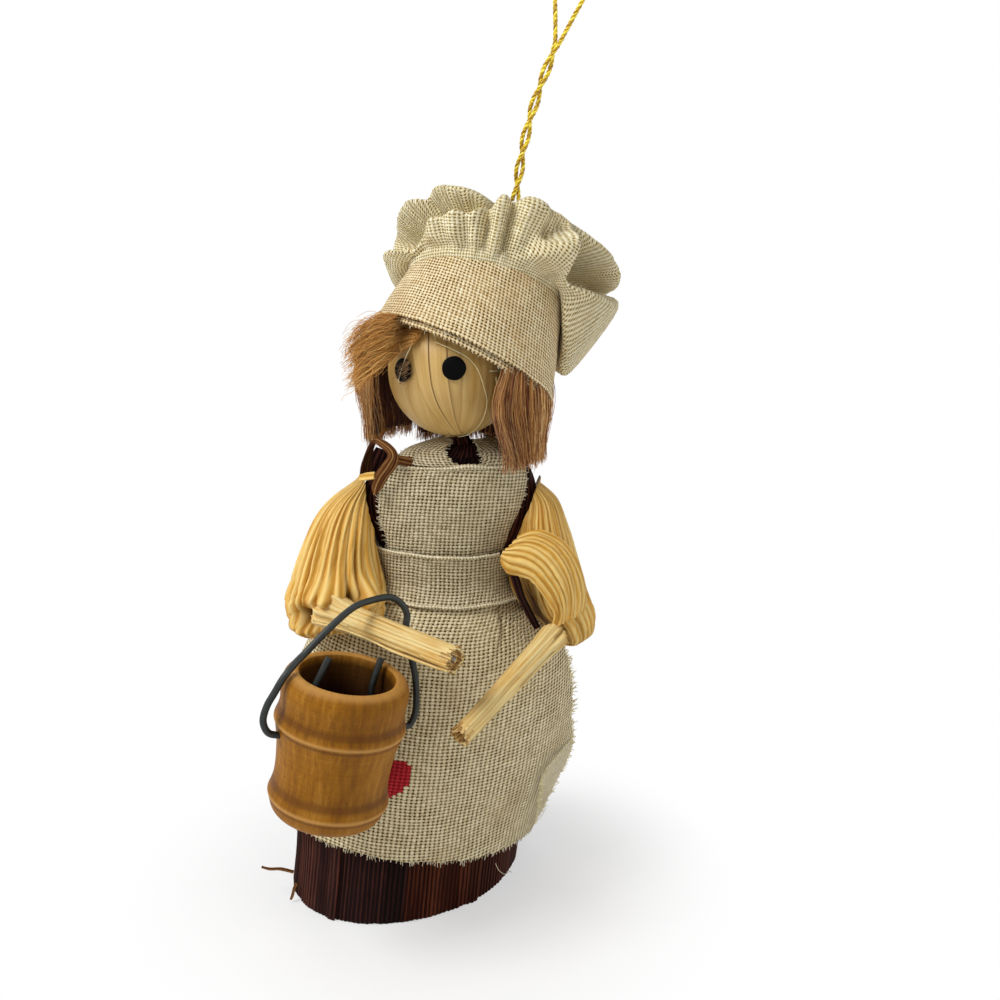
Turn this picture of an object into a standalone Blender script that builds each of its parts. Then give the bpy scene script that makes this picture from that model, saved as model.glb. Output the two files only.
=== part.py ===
# Corn husk doll in a linen apron and cook's hat, with a wooden bucket on one arm.
# Metres, +Z up. The origin is on the floor under the skirt, and the apron faces -Y.
# Left and right are the doll's own, so its right arm is at -X.

import math

import bmesh
import bpy
from mathutils import Matrix, Vector

for old in list(bpy.data.objects):
    bpy.data.objects.remove(old, do_unlink=True)

# Layers and gaps
gap = 0.0003
husk = 0.0005
linen = 0.0006
thread_radius = 0.0005
layer = husk + gap
merge_distance = 0.0000001

# Skirt
skirt_height = 0.0573
hem_half_width = 0.0214
hem_half_depth = 0.0174
hem_lift = 0.0006

# Torso, from the waist to the neck
torso_height = 0.0247
chest_half_width = 0.0105
chest_half_depth = 0.0064
bodice_bulge = 0.0026
stick_radius = 0.0012
stick_depth = 0.0180

# Head
head_ball_radius = 0.0100
head_right = 0.0054
head_forward = 0.0010
face_turn = -25.0
eye_radius = 0.0019
eye_thickness = 0.0004
eye_rise = 9.0
hair_thickness = 0.0028
hair_fall = 0.0160

# Hat
band_half_width = 0.0164
band_half_depth = 0.0154
band_height = 0.0140
band_top_half_width = 0.0132
band_top_half_depth = 0.0122
crown_reach = 0.0200
crown_height = 0.0155
pleats = 7

# Hanging cord
cord_radius = 0.0004

# Sleeves and arms
sleeve_half_width = 0.0087
sleeve_half_depth = 0.0074
sleeve_length = 0.0248
left_sleeve_half_width = 0.0071
left_sleeve_half_depth = 0.0068
left_sleeve_length = 0.0275
arm_radius = 0.00245
hand_radius = 0.0022
left_arm_radius = 0.0023
left_hand_radius = 0.0018
arm_wire_radius = 0.0006
upper_arm_radius = 0.0011
elbow_play = 0.0006
elbow_raise = 20.0
right_forearm_length = 0.02661
left_forearm_length = 0.02549

# Apron
bib_top_drop = 0.0040
waistband_height = 0.0082
apron_flare = 0.0012
apron_fold = 0.0007
apron_lift = 0.0030

# Bucket and its wire bail
bucket_radius = 0.0103
bucket_mouth_radius = 0.00725
bucket_height = 0.0240
bucket_floor = 0.0030
hole_below_rim = 0.00975
bail_radius = 0.00055
bail_reach = 0.0132
bail_height = 0.0204
bail_place = 0.0080
bail_drop = 0.01714
hole_play = 0.0003

# Colour, roughness and metallic of each material
materials = {
    "foam": ((0.62, 0.60, 0.54), 0.9, 0.0),
    "dark_husk": ((0.066, 0.026, 0.020), 0.7, 0.0),
    "red_husk": ((0.120, 0.040, 0.022), 0.7, 0.0),
    "brown_husk": ((0.195, 0.080, 0.036), 0.65, 0.0),
    "gold_husk": ((0.730, 0.460, 0.140), 0.6, 0.0),
    "pale_husk": ((0.740, 0.560, 0.290), 0.6, 0.0),
    "face_husk": ((0.600, 0.430, 0.190), 0.55, 0.0),
    "linen": ((0.560, 0.470, 0.330), 0.95, 0.0),
    "hat_linen": ((0.640, 0.520, 0.360), 0.95, 0.0),
    "thread": ((0.640, 0.580, 0.440), 0.8, 0.0),
    "dowel": ((0.620, 0.420, 0.220), 0.7, 0.0),
    "ball": ((0.660, 0.520, 0.340), 0.7, 0.0),
    "black": ((0.010, 0.010, 0.012), 0.35, 0.0),
    "hair": ((0.400, 0.180, 0.065), 0.6, 0.0),
    "gold_cord": ((0.950, 0.720, 0.050), 0.3, 0.8),
    "bucket_wood": ((0.480, 0.215, 0.045), 0.5, 0.0),
    "steel_wire": ((0.350, 0.350, 0.360), 0.4, 1.0),
    "coated_wire": ((0.016, 0.030, 0.024), 0.4, 0.0),
}


def material_named(name):
    colour, roughness, metallic = materials[name]
    material = bpy.data.materials.get(name) or bpy.data.materials.new(name)
    material.use_nodes = True
    surface = material.node_tree.nodes["Principled BSDF"]
    surface.inputs["Base Color"].default_value = (*colour, 1)
    surface.inputs["Roughness"].default_value = roughness
    surface.inputs["Metallic"].default_value = metallic
    return material


# An axis is an empty on a joint, and world_place keeps where each one stands.
world_place = {}


def add_axis(name, point, parent=None):
    axis = bpy.data.objects.new(name, None)
    bpy.context.scene.collection.objects.link(axis)
    axis.empty_display_size = arm_radius
    world_place[name] = Vector(point)
    axis.location = world_place[name]
    if parent:
        axis.parent = parent
        axis.location = world_place[name] - world_place[parent.name]
    return axis


def add_object(name, mesh, material, parent=None):
    node = bpy.data.objects.new(name, mesh)
    bpy.context.scene.collection.objects.link(node)
    node.data.materials.append(material_named(material))
    if parent:
        node.parent = parent
        mesh.transform(Matrix.Translation(-world_place[parent.name]))
    return node


def finish_mesh(name, form, sharp_degrees=40):
    bmesh.ops.remove_doubles(form, verts=form.verts, dist=merge_distance)
    bmesh.ops.recalc_face_normals(form, faces=form.faces)
    mesh = bpy.data.meshes.new(name)
    form.to_mesh(mesh)
    form.free()
    mesh.shade_smooth()
    mesh.set_sharp_from_angle(angle=math.radians(sharp_degrees))
    return mesh


def cut(node, cutter):
    cutter.hide_render = True
    cutter.display_type = "WIRE"
    step = node.modifiers.new("cut_" + cutter.name, "BOOLEAN")
    step.operation = "DIFFERENCE"
    step.solver = "EXACT"
    step.object = cutter


# A sheet is a closed shell. place(across, up, offset) gives its points for each value of
# across and up, and offset is measured outwards.
def sheet(name, material, across_values, up_values, place, inner, thickness, parent=None, closed=False):
    form = bmesh.new()
    grid = [
        [[form.verts.new(place(across, up, offset)) for up in up_values] for across in across_values]
        for offset in (inner, inner + thickness)
    ]
    steps = len(across_values)
    columns = steps if closed else steps - 1
    last = len(up_values) - 1
    for i in range(columns):
        after = (i + 1) % steps
        for j in range(last):
            for side in grid:
                form.faces.new((side[i][j], side[after][j], side[after][j + 1], side[i][j + 1]))
        for j in (0, last):
            form.faces.new((grid[0][i][j], grid[0][after][j], grid[1][after][j], grid[1][i][j]))
    if not closed:
        for i in (0, columns):
            for j in range(last):
                edge = (grid[0][i][j], grid[0][i][j + 1], grid[1][i][j + 1], grid[1][i][j])
                form.faces.new(edge)
    return add_object(name, finish_mesh(name, form), material, parent)


def shares(count):
    return [i / count for i in range(count + 1)]


# A loft joins rings of equal count and closes both ends.
def loft(name, material, rings, parent=None, sharp_degrees=40):
    form = bmesh.new()
    loops = [[form.verts.new(point) for point in ring] for ring in rings]
    count = len(loops[0])
    for below, above in zip(loops, loops[1:]):
        for i in range(count):
            after = (i + 1) % count
            form.faces.new((below[i], below[after], above[after], above[i]))
    form.faces.new(loops[0])
    form.faces.new(loops[-1])
    return add_object(name, finish_mesh(name, form, sharp_degrees), material, parent)


# A rod is a loft of round rings along a line, with a radius for each point.
def rod(name, material, points, radii, sides=12, parent=None):
    rings = []
    aside = (points[1] - points[0]).orthogonal().normalized()
    for i, point in enumerate(points):
        before = points[max(i - 1, 0)]
        after = points[min(i + 1, len(points) - 1)]
        along = (after - before).normalized()
        aside = (aside - along * aside.dot(along)).normalized()
        other = along.cross(aside)
        turns = [2 * math.pi * k / sides for k in range(sides)]
        rings.append([
            point + (aside * math.cos(turn) + other * math.sin(turn)) * radii[i] for turn in turns
        ])
    return loft(name, material, rings, parent)


# A turned piece spins a closed outline of (radius, height) points about Z.
def turned(name, material, outline, segments, parent=None):
    form = bmesh.new()
    loops = []
    for radius, height in outline:
        if radius == 0:
            loops.append([form.verts.new((0, 0, height))])
            continue
        turns = [2 * math.pi * k / segments for k in range(segments)]
        ring = [(radius * math.cos(turn), radius * math.sin(turn), height) for turn in turns]
        loops.append([form.verts.new(point) for point in ring])
    for first, second in zip(loops, loops[1:]):
        for k in range(segments):
            after = (k + 1) % segments
            corners = [first[k % len(first)], first[after % len(first)]]
            corners += [second[after % len(second)], second[k % len(second)]]
            form.faces.new(list(dict.fromkeys(corners)))
    return add_object(name, finish_mesh(name, form), material, parent)


def wire(name, material, points, radius, resolution=2, parent=None):
    curve = bpy.data.curves.new(name, "CURVE")
    curve.dimensions = "3D"
    curve.bevel_depth = radius
    curve.bevel_resolution = resolution
    curve.use_fill_caps = True
    line = curve.splines.new("POLY")
    line.points.add(len(points) - 1)
    start = world_place[parent.name] if parent else Vector((0, 0, 0))
    for spot, point in zip(line.points, points):
        spot.co = (*(point - start), 1)
    node = bpy.data.objects.new(name, curve)
    bpy.context.scene.collection.objects.link(node)
    curve.materials.append(material_named(material))
    if parent:
        node.parent = parent
    return node


def smooth_line(points, steps):
    line = []
    for i in range(len(points) - 1):
        p0 = points[max(i - 1, 0)]
        p1, p2 = points[i], points[i + 1]
        p3 = points[min(i + 2, len(points) - 1)]
        for k in range(steps):
            t = k / steps
            pull = (p2 - p0) * t + (2 * p0 - 5 * p1 + 4 * p2 - p3) * t ** 2
            line.append(p1 + (pull + (3 * p1 - p0 - 3 * p2 + p3) * t ** 3) / 2)
    line.append(points[-1])
    return line


def smooth_row(rows, height):
    i = max(k for k in range(len(rows) - 1) if rows[k][0] <= height or k == 0)
    t = (height - rows[i][0]) / (rows[i + 1][0] - rows[i][0])
    t = min(max(t, 0), 1)
    row = []
    for k in range(1, len(rows[0])):
        p1, p2 = rows[i][k], rows[i + 1][k]
        span = rows[i + 1][0] - rows[i][0]
        start = slope_at(rows, i, k) * span
        end = slope_at(rows, i + 1, k) * span
        row.append(
            (2 * t ** 3 - 3 * t ** 2 + 1) * p1
            + (t ** 3 - 2 * t ** 2 + t) * start
            + (3 * t ** 2 - 2 * t ** 3) * p2
            + (t ** 3 - t ** 2) * end
        )
    return row


def slope_at(rows, i, k):
    low, high = max(i - 1, 0), min(i + 1, len(rows) - 1)
    return (rows[high][k] - rows[low][k]) / (rows[high][0] - rows[low][0])


# Height, half width, half depth, shift to the left and shift back, as shares of the
# skirt's own sizes, and the turn of the oval in degrees.
skirt_shares = (
    (0.00, 1.00, 1.00, -0.19, 0.29, 45),
    (0.17, 0.99, 0.95, -0.13, 0.25, 38),
    (0.44, 1.01, 0.86, -0.03, 0.16, 22),
    (0.66, 0.99, 0.78, 0.03, 0.10, 12),
    (0.80, 0.92, 0.71, 0.06, 0.07, 8),
    (0.88, 0.78, 0.61, 0.07, 0.04, 5),
    (0.94, 0.56, 0.46, 0.11, 0.01, 2),
)
torso_shares = (
    (0.00, 0.81, 0.88, 0.30, 0.00, 0),
    (0.15, 0.79, 0.85, 0.32, 0.00, 0),
    (0.35, 0.93, 0.91, 0.36, 0.00, 0),
    (0.60, 1.10, 1.00, 0.42, 0.00, 0),
    (0.80, 1.06, 0.88, 0.50, 0.00, 0),
    (0.92, 0.74, 0.66, 0.62, 0.00, 0),
    (1.00, 0.26, 0.34, 0.70, 0.00, 0),
)
body_rows = [
    (
        skirt_height * up,
        hem_half_width * width,
        hem_half_depth * depth,
        hem_half_width * left,
        hem_half_depth * back,
        math.radians(turn),
    )
    for up, width, depth, left, back, turn in skirt_shares
] + [
    (
        skirt_height + torso_height * up,
        chest_half_width * width,
        chest_half_depth * depth,
        chest_half_width * left,
        chest_half_depth * back,
        math.radians(turn),
    )
    for up, width, depth, left, back, turn in torso_shares
]


# A bearing is in degrees from the front, positive towards the doll's left, +X.
def body_point(bearing, height, offset):
    width, depth, left, back, turn = smooth_row(body_rows, height)
    angle = math.radians(bearing) - turn
    out = Vector((math.sin(angle) / width, -math.cos(angle) / depth)).normalized() * offset
    x = width * math.sin(angle) + out.x
    y = -depth * math.cos(angle) + out.y
    cos_turn, sin_turn = math.cos(turn), math.sin(turn)
    return Vector((left + x * cos_turn - y * sin_turn, back + x * sin_turn + y * cos_turn, height))


# A point inside the body's surface moves straight out from its axis to that surface.
def clear_of_body(point, offset):
    if point.z > skirt_height + torso_height:
        return point
    width, depth, left, back, turn = smooth_row(body_rows, point.z)
    x, y = point.x - left, point.y - back
    cos_turn, sin_turn = math.cos(turn), math.sin(turn)
    u, v = x * cos_turn + y * sin_turn, y * cos_turn - x * sin_turn
    share = math.hypot(u / (width + offset), v / (depth + offset))
    if share >= 1 or share == 0:
        return point
    u, v = u / share, v / share
    return Vector((left + u * cos_turn - v * sin_turn, back + u * sin_turn + v * cos_turn, point.z))


waist = skirt_height
neck = skirt_height + torso_height
skirt_level_shares = (0, 0.10, 0.25, 0.42, 0.58, 0.70, 0.78, 0.84, 0.89, 0.93, 0.97)
torso_level_shares = (0, 0.12, 0.25, 0.40, 0.55, 0.70, 0.82, 0.91, 0.97)
levels = [skirt_height * share for share in skirt_level_shares]
levels += [waist + torso_height * share for share in torso_level_shares]


# Every layer bends at the same levels, so the layers keep their gaps.
def levels_between(bottom, top):
    middle = [level for level in levels if bottom + gap < level < top - gap]
    return [bottom, *middle, top]


leaf_offset = gap
outer_leaf_offset = leaf_offset + layer
cloth_offset = outer_leaf_offset + layer
band_offset = cloth_offset + linen + gap
sleeve_offset = band_offset + linen + gap

# The skirt's foam core stands on the floor and carries the leaves.
body_segments = 28
body_bearings = [360 * i / body_segments for i in range(body_segments)]


def body_loft(name, material, bottom, top):
    rings = []
    for height in levels_between(bottom, top):
        rings.append([body_point(bearing, height, 0) for bearing in body_bearings])
    return loft(name, material, rings)


skirt_core = body_loft("skirt_core", "foam", 0, waist - gap)
torso_core = body_loft("torso_core", "pale_husk", waist, waist + torso_height * 0.97)

# Two layers of husk leaves wrap the core, the outer ones over the inner ones' seams.
leaves = 5
leaf_width = 360 / leaves
leaf_gap_degrees = 1.2
leaf_seam = -34.0
leaf_top = skirt_height * 0.97
outer_leaf_colours = ("red_husk", "dark_husk", "dark_husk", "red_husk", "dark_husk")


def leaf(name, material, start, offset, bottom):
    def place(across, height, out):
        bearing = start + leaf_gap_degrees / 2 + (leaf_width - leaf_gap_degrees) * across
        return body_point(bearing, height, out)

    return sheet(name, material, shares(5), levels_between(bottom, leaf_top), place, offset, husk)


for k in range(leaves):
    start = leaf_seam + leaf_width * k
    leaf(f"inner_leaf_{k + 1}", "dark_husk", start + leaf_width / 2, leaf_offset, hem_lift)
    leaf(f"outer_leaf_{k + 1}", outer_leaf_colours[k], start, outer_leaf_offset, 0)

# A stick runs from the core through the torso into the head.
head_radius = head_ball_radius + 2 * layer
head_centre = Vector((head_right, -head_forward, neck + head_radius))
stick_foot = Vector((chest_half_width * torso_shares[0][3], 0, waist - stick_depth))
stick_points = [stick_foot.lerp(head_centre, k / 4) for k in range(5)]
rod("spine_stick", "dowel", stick_points, [stick_radius] * 5, 10)
stick_end = (head_centre - stick_foot).normalized() * gap
bore_points = [stick_foot - stick_end, head_centre + stick_end]
stick_bore = rod("stick_bore", "dowel", bore_points, [stick_radius + gap] * 2, 12)
cut(skirt_core, stick_bore)
cut(torso_core, stick_bore)

# Thread binds the leaves' tops at the waist.
tie_turns = 24


def ring_around_body(name, material, height, offset, radius, lie=0):
    points = [
        body_point(360 * i / tie_turns, height, offset + radius) for i in range(tie_turns)
    ]
    form = bmesh.new()
    loops = []
    for i, point in enumerate(points):
        out = (point - body_point(360 * i / tie_turns, height, 0)).normalized()
        corners = [2 * math.pi * k / 6 for k in range(6)]
        loops.append([
            form.verts.new(point + (out * math.cos(c) + Vector((0, 0, 1)) * math.sin(c)) * radius)
            for c in corners
        ])
    for i in range(tie_turns):
        first, second = loops[i], loops[(i + 1) % tie_turns]
        for k in range(6):
            after = (k + 1) % 6
            form.faces.new((first[k], first[after], second[after], second[k]))
    return add_object(name, finish_mesh(name, form), material)


tie_height = skirt_height * 0.985
ring_around_body("waist_tie", "thread", tie_height, outer_leaf_offset + gap, thread_radius)

# The bodice is two husk strips side by side over the torso, open at the front.
bodice_bottom = waist + torso_height * 0.05
bodice_top = waist + torso_height * 0.90
bodice_half_open = 4.0
bodice_back = 178.5


# The strips stand off the torso at its sides, and more so above the apron's waistband.
def bodice(name, side):
    def place(across, height, out):
        bearing = side * (bodice_half_open + (bodice_back - bodice_half_open) * across)
        up = (height - bodice_bottom) / (bodice_top - bodice_bottom)
        stand_off = bodice_bulge * (0.6 + 0.4 * min(max(4 * up - 1, 0), 1)) * min(3 * (1 - up), 1)
        return body_point(bearing, height, out + stand_off * math.sin(math.radians(bearing)) ** 10)

    heights = levels_between(bodice_bottom, bodice_top)
    return sheet(name, "dark_husk", shares(11), heights, place, leaf_offset, husk)


bodice("bodice_right", -1)
bodice("bodice_left", 1)

# Apron: bib, waistband, skirt and two neck straps, in linen.
bib_bottom = waist + torso_height * 0.08
bib_top = neck - bib_top_drop
bib_bearing = 64.0
bib_waist_bearing = 58.0
bib_turn = 2.0


def bib_point(across, height, out):
    up = (height - bib_bottom) / (bib_top - bib_bottom)
    spread = bib_waist_bearing + (bib_bearing - bib_waist_bearing) * math.sin(math.pi * up * 0.62)
    return body_point(bib_turn + spread * (2 * across - 1), height, out)


sheet("apron_bib", "linen", shares(12), levels_between(bib_bottom, bib_top), bib_point, cloth_offset, linen)

waistband_bottom = waist - waistband_height * 0.25
waistband_tilt = 0.0006
waistband_columns = 28
waistband_opening = 6.0


def waistband_point(across, up, out):
    bearing = 180 + waistband_opening / 2 + (360 - waistband_opening) * across
    tilt = waistband_tilt * math.sin(math.radians(bearing))
    return body_point(bearing, waistband_bottom + waistband_height * up - tilt, out)


sheet("apron_waistband", "linen", shares(waistband_columns), shares(3), waistband_point, band_offset, linen)

apron_top = tie_height - thread_radius - gap
apron_left_bearing = 78.0
apron_right_bearing = -82.0
apron_bottom_left = skirt_height * 0.17
apron_bottom_right = skirt_height * 0.33
apron_folds = 3
apron_row_shares = (0, 0.06, 0.14, 0.24, 0.36, 0.52, 0.68, 0.84, 1)


def apron_point(across, up, out):
    bearing = apron_right_bearing + (apron_left_bearing - apron_right_bearing) * across
    bottom = apron_bottom_right + (apron_bottom_left - apron_bottom_right) * across
    height = apron_top + (bottom - apron_top) * up
    below_band = max(up - apron_row_shares[1], 0)
    flare = apron_flare * min(below_band * 1.7, 1)
    fold = apron_fold * up * (1 - math.cos(2 * math.pi * apron_folds * across)) / 2
    lift = apron_lift * across ** 5 * math.sin(math.pi * below_band * 0.9)
    return body_point(bearing, height, out + flare + fold + lift)


sheet("apron_skirt", "linen", shares(20), apron_row_shares, apron_point, cloth_offset, linen)


# A strap runs from the bib's top corner to the back of the neck.
strap_bottom = bib_top + gap * 2
strap_top = neck - thread_radius * 2


def strap(name, side):
    def place(across, up, out):
        outer = 62.0 + 28.0 * up
        inner = 8.0 + 14.0 * up
        bearing = bib_turn + side * (inner + (outer - inner) * across)
        return body_point(bearing, strap_bottom + (strap_top - strap_bottom) * up, out)

    return sheet(name, "linen", shares(6), shares(4), place, cloth_offset, linen)


strap("apron_strap_right", -1)
strap("apron_strap_left", 1)

# Two loose slivers of husk stick out from the hem at the right.
sliver_length = 0.0056
sliver_radius = 0.00035
sliver_rise = 0.0046
sliver_root = body_point(-66, sliver_rise, outer_leaf_offset + layer + sliver_radius)
sliver_tip = sliver_root + Vector((-sliver_length, 0, sliver_length * 0.22))
rod("husk_sliver_long", "brown_husk", [sliver_root, sliver_tip], [sliver_radius, sliver_radius * 0.7], 6)
short_root = body_point(-60, sliver_rise * 0.75, outer_leaf_offset + layer + sliver_radius)
short_tip = short_root + Vector((-sliver_length * 0.2, -sliver_length * 0.1, -sliver_length * 0.5))
rod("husk_sliver_short", "brown_husk", [short_root, short_tip], [sliver_radius, sliver_radius * 0.6], 6)

# Head: a ball in gores of pale husk, with two narrow strips between the eyes.
def ball_point(bearing, rise, radius):
    side, up = math.radians(bearing), math.radians(rise)
    out = Vector((math.sin(side) * math.cos(up), -math.cos(side) * math.cos(up), math.sin(up)))
    return head_centre + out * radius


ball_rings = []
for rise in (-84, -60, -30, 0, 30, 60, 84):
    ball_rings.append([ball_point(360 * i / 20, rise, head_ball_radius) for i in range(20)])
head_ball = loft("head_ball", "ball", ball_rings)
cut(head_ball, stick_bore)

gores = 6
gore_width = 360 / gores
gore_gap_degrees = 2.0
gore_rises = (-80, -62, -42, -21, 0, 21, 42, 62, 80)


def gore(name, start, width, rises, offset, columns):
    def place(across, rise, out):
        return ball_point(start + width * across, rise, head_ball_radius + out)

    return sheet(name, "face_husk", shares(columns), rises, place, offset, husk)


for k in range(gores):
    start = face_turn + gore_width * (k - 0.5) + gore_gap_degrees / 2
    gore(f"head_husk_{k + 1}", start, gore_width - gore_gap_degrees, gore_rises, gap, 5)
strip_rises = (-78, -62, -42, -21, 0, 21, 42)
gore("face_strip_right", face_turn - 11.5, 11.0, strip_rises, gap + layer, 2)
gore("face_strip_left", face_turn + 1.0, 11.0, strip_rises, gap + layer, 2)


# An eye is a black paper disc laid on the face.
def eye(name, bearing, rise):
    middle = ball_point(bearing, rise, 1) - head_centre
    across = middle.cross(Vector((0, 0, 1))).normalized()
    upward = across.cross(middle)
    surface = head_ball_radius + 2 * layer
    turns = [2 * math.pi * k / 16 for k in range(16)]
    rings = []
    for radius in (surface, surface + eye_thickness):
        tilt = eye_radius / surface
        ring = []
        for turn in turns:
            aside = (across * math.cos(turn) + upward * math.sin(turn)) * math.sin(tilt)
            ring.append(head_centre + (middle * math.cos(tilt) + aside) * radius)
        rings.append(ring)
    form = bmesh.new()
    loops = [[form.verts.new(point) for point in ring] for ring in rings]
    centres = [form.verts.new(head_centre + middle * (surface + lift)) for lift in (0, eye_thickness)]
    for k in range(16):
        after = (k + 1) % 16
        form.faces.new((loops[0][k], loops[0][after], loops[1][after], loops[1][k]))
        for loop, centre in zip(loops, centres):
            form.faces.new((loop[k], loop[after], centre))
    return add_object(name, finish_mesh(name, form), "black")


eye("eye_left", -1.3, eye_rise)
eye("eye_right", -48.0, eye_rise * 0.6)


# Hair is bundles of fibre that follow the head and then hang straight down.
hair_inner = head_ball_radius + 3 * layer


def hair_sheet(name, start, width, top_rise, fall, columns, inner, thickness):
    top = hair_inner * math.sin(math.radians(top_rise))
    drops = [top + (-fall - top) * k / 6 for k in range(7)]

    def place(across, drop, out):
        side = math.radians(start + width * across)
        lift = max(drop, 0) / (hair_inner + out)
        reach = (hair_inner + out) * math.sqrt(1 - min(lift, 0.98) ** 2)
        return head_centre + Vector((math.sin(side) * reach, -math.cos(side) * reach, drop))

    return sheet(name, "hair", shares(columns), drops, place, inner, thickness)


hair_sheet("hair_left", 36, 82, 14, hair_fall, 7, 0, hair_thickness * 0.78)
hair_sheet("hair_back", 121, 84, 30, hair_fall * 0.85, 6, 0, hair_thickness * 0.5)
hair_sheet("hair_right", 208, 60, 40, hair_fall * 0.75, 6, 0, hair_thickness * 0.8)

fringe_start = -88.0
fringe_width = 44.0
fringe_top = head_radius * 0.80
fringe_fall = head_radius * 0.42


def fringe_point(across, up, out):
    side = math.radians(fringe_start + fringe_width * across)
    drop = fringe_top - fringe_fall * up
    close = math.sqrt(1 - (drop / (hair_inner + out)) ** 2)
    reach = (hair_inner + out) * close + hair_thickness * up ** 2 * (1 - across)
    return head_centre + Vector((math.sin(side) * reach, -math.cos(side) * reach, drop))


sheet("hair_fringe", "hair", shares(5), shares(4), fringe_point, 0, hair_thickness * 0.37)


# The hat's band is a cone of linen, tilted to the doll's left and back.
def tilted(centre, roll, pitch):
    turn = Matrix.Rotation(math.radians(roll), 4, "Y") @ Matrix.Rotation(math.radians(-pitch), 4, "X")
    return Matrix.Translation(centre) @ turn


band_centre = head_centre + Vector((head_radius * 0.14, head_radius * 0.10, head_radius * 0.10))
band_low = tilted(band_centre, 27.7, 18.0)
band_rise = tilted(Vector((0, 0, 0)), 19.5, 20.0) @ Vector((0, 0, band_height))
band_high = tilted(band_centre + band_rise, 14.2, 24.0)
band_columns = 32


def band_point(across, up, out):
    turn = 2 * math.pi * across
    low_x = (band_half_width + out) * math.sin(turn)
    low_y = -(band_half_depth + out) * math.cos(turn)
    top_x = (band_top_half_width + out) * math.sin(turn)
    top_y = -(band_top_half_depth + out) * math.cos(turn)
    return (band_low @ Vector((low_x, low_y, 0))).lerp(band_high @ Vector((top_x, top_y, 0)), up)


band_across = [i / band_columns for i in range(band_columns)]
sheet("hat_band", "hat_linen", band_across, shares(2), band_point, -linen, linen, closed=True)

# The crown is one piece of linen gathered into the band. Each row holds the reach and the
# rise of one ring at the front, left, back and right, as shares of the crown's sizes.
crown_shares = (
    ((0.50, -0.10), (0.54, -0.10), (0.50, -0.10), (0.54, -0.10)),
    ((0.53, 0.03), (0.58, 0.05), (0.53, 0.03), (0.57, 0.04)),
    ((0.56, 0.18), (0.78, 0.10), (0.72, 0.10), (0.66, 0.10)),
    ((0.62, 0.34), (0.90, -0.46), (0.90, -0.20), (0.76, 0.06)),
    ((0.68, 0.52), (1.04, -0.10), (1.00, 0.05), (0.86, 0.22)),
    ((0.66, 0.72), (1.08, 0.24), (0.98, 0.34), (0.84, 0.50)),
    ((0.56, 0.88), (0.88, 0.60), (0.80, 0.66), (0.72, 0.76)),
    ((0.38, 0.98), (0.56, 0.84), (0.52, 0.88), (0.50, 0.93)),
    ((0.16, 1.00), (0.22, 0.97), (0.20, 0.98), (0.20, 1.00)),
)
pleat_shares = (0.0, 0.0, 0.06, 0.10, 0.11, 0.12, 0.14, 0.16, 0.10)
crown_segments = 56


def crown_ring(row, pleat):
    ring = []
    for i in range(crown_segments):
        turn = 2 * math.pi * i / crown_segments
        side = 2 * i / (crown_segments / 2)
        first = int(side) % 4
        blend = (1 - math.cos(math.pi * (side - int(side)))) / 2
        before, after = row[first], row[(first + 1) % 4]
        reach = before[0] + (after[0] - before[0]) * blend
        rise = before[1] + (after[1] - before[1]) * blend
        wave = pleat * math.cos(pleats * turn)
        reach *= crown_reach * (1 + wave)
        point = Vector((math.sin(turn) * reach, -math.cos(turn) * reach, rise * crown_height))
        ring.append(band_high @ point)
    return ring


hat_crown = loft("hat_crown", "hat_linen", [crown_ring(*pair) for pair in zip(crown_shares, pleat_shares)])

# The gold cord is one loop from the crown's top. Its two strands twist together and part
# just above the picture.
cord_root = band_high @ Vector((crown_reach * 0.08, 0, crown_height * 1.035))
cord_twist = 0.0110
cord_split = 0.0270
cord_eye = 0.0240
cord_eye_width = 0.0100
cord_lean = Vector((0.27, -0.05, 1)).normalized()
cord_bow = 0.0012
strand_gap = 0.0003
cord_points = 22


def cord_strand(side):
    line = []
    helix = cord_radius + strand_gap / 2
    for i in range(cord_points):
        along = cord_split * i / (cord_points - 1)
        turn = 2 * math.pi * along / cord_twist
        bow = cord_bow * math.sin(math.pi * along / cord_split)
        aside = Vector((math.cos(turn), math.sin(turn), 0)) * helix * side
        line.append(cord_root + cord_lean * along + Vector((-bow, 0, 0)) + aside)
    return line


going, coming = cord_strand(-1), cord_strand(1)
eye_points = []
across_eye = (coming[-1] - going[-1]).normalized()
for i in range(1, 14):
    share = i / 14
    along = cord_eye * math.sin(math.pi * share) ** 0.8
    width = -cord_eye_width / 2 * math.sin(2 * math.pi * share)
    middle = going[-1].lerp(coming[-1], share)
    eye_points.append(middle + cord_lean * along + across_eye * width)
cord_line = going + eye_points + coming[::-1]
wire("hanger_loop", "gold_cord", cord_line, cord_radius)

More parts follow.
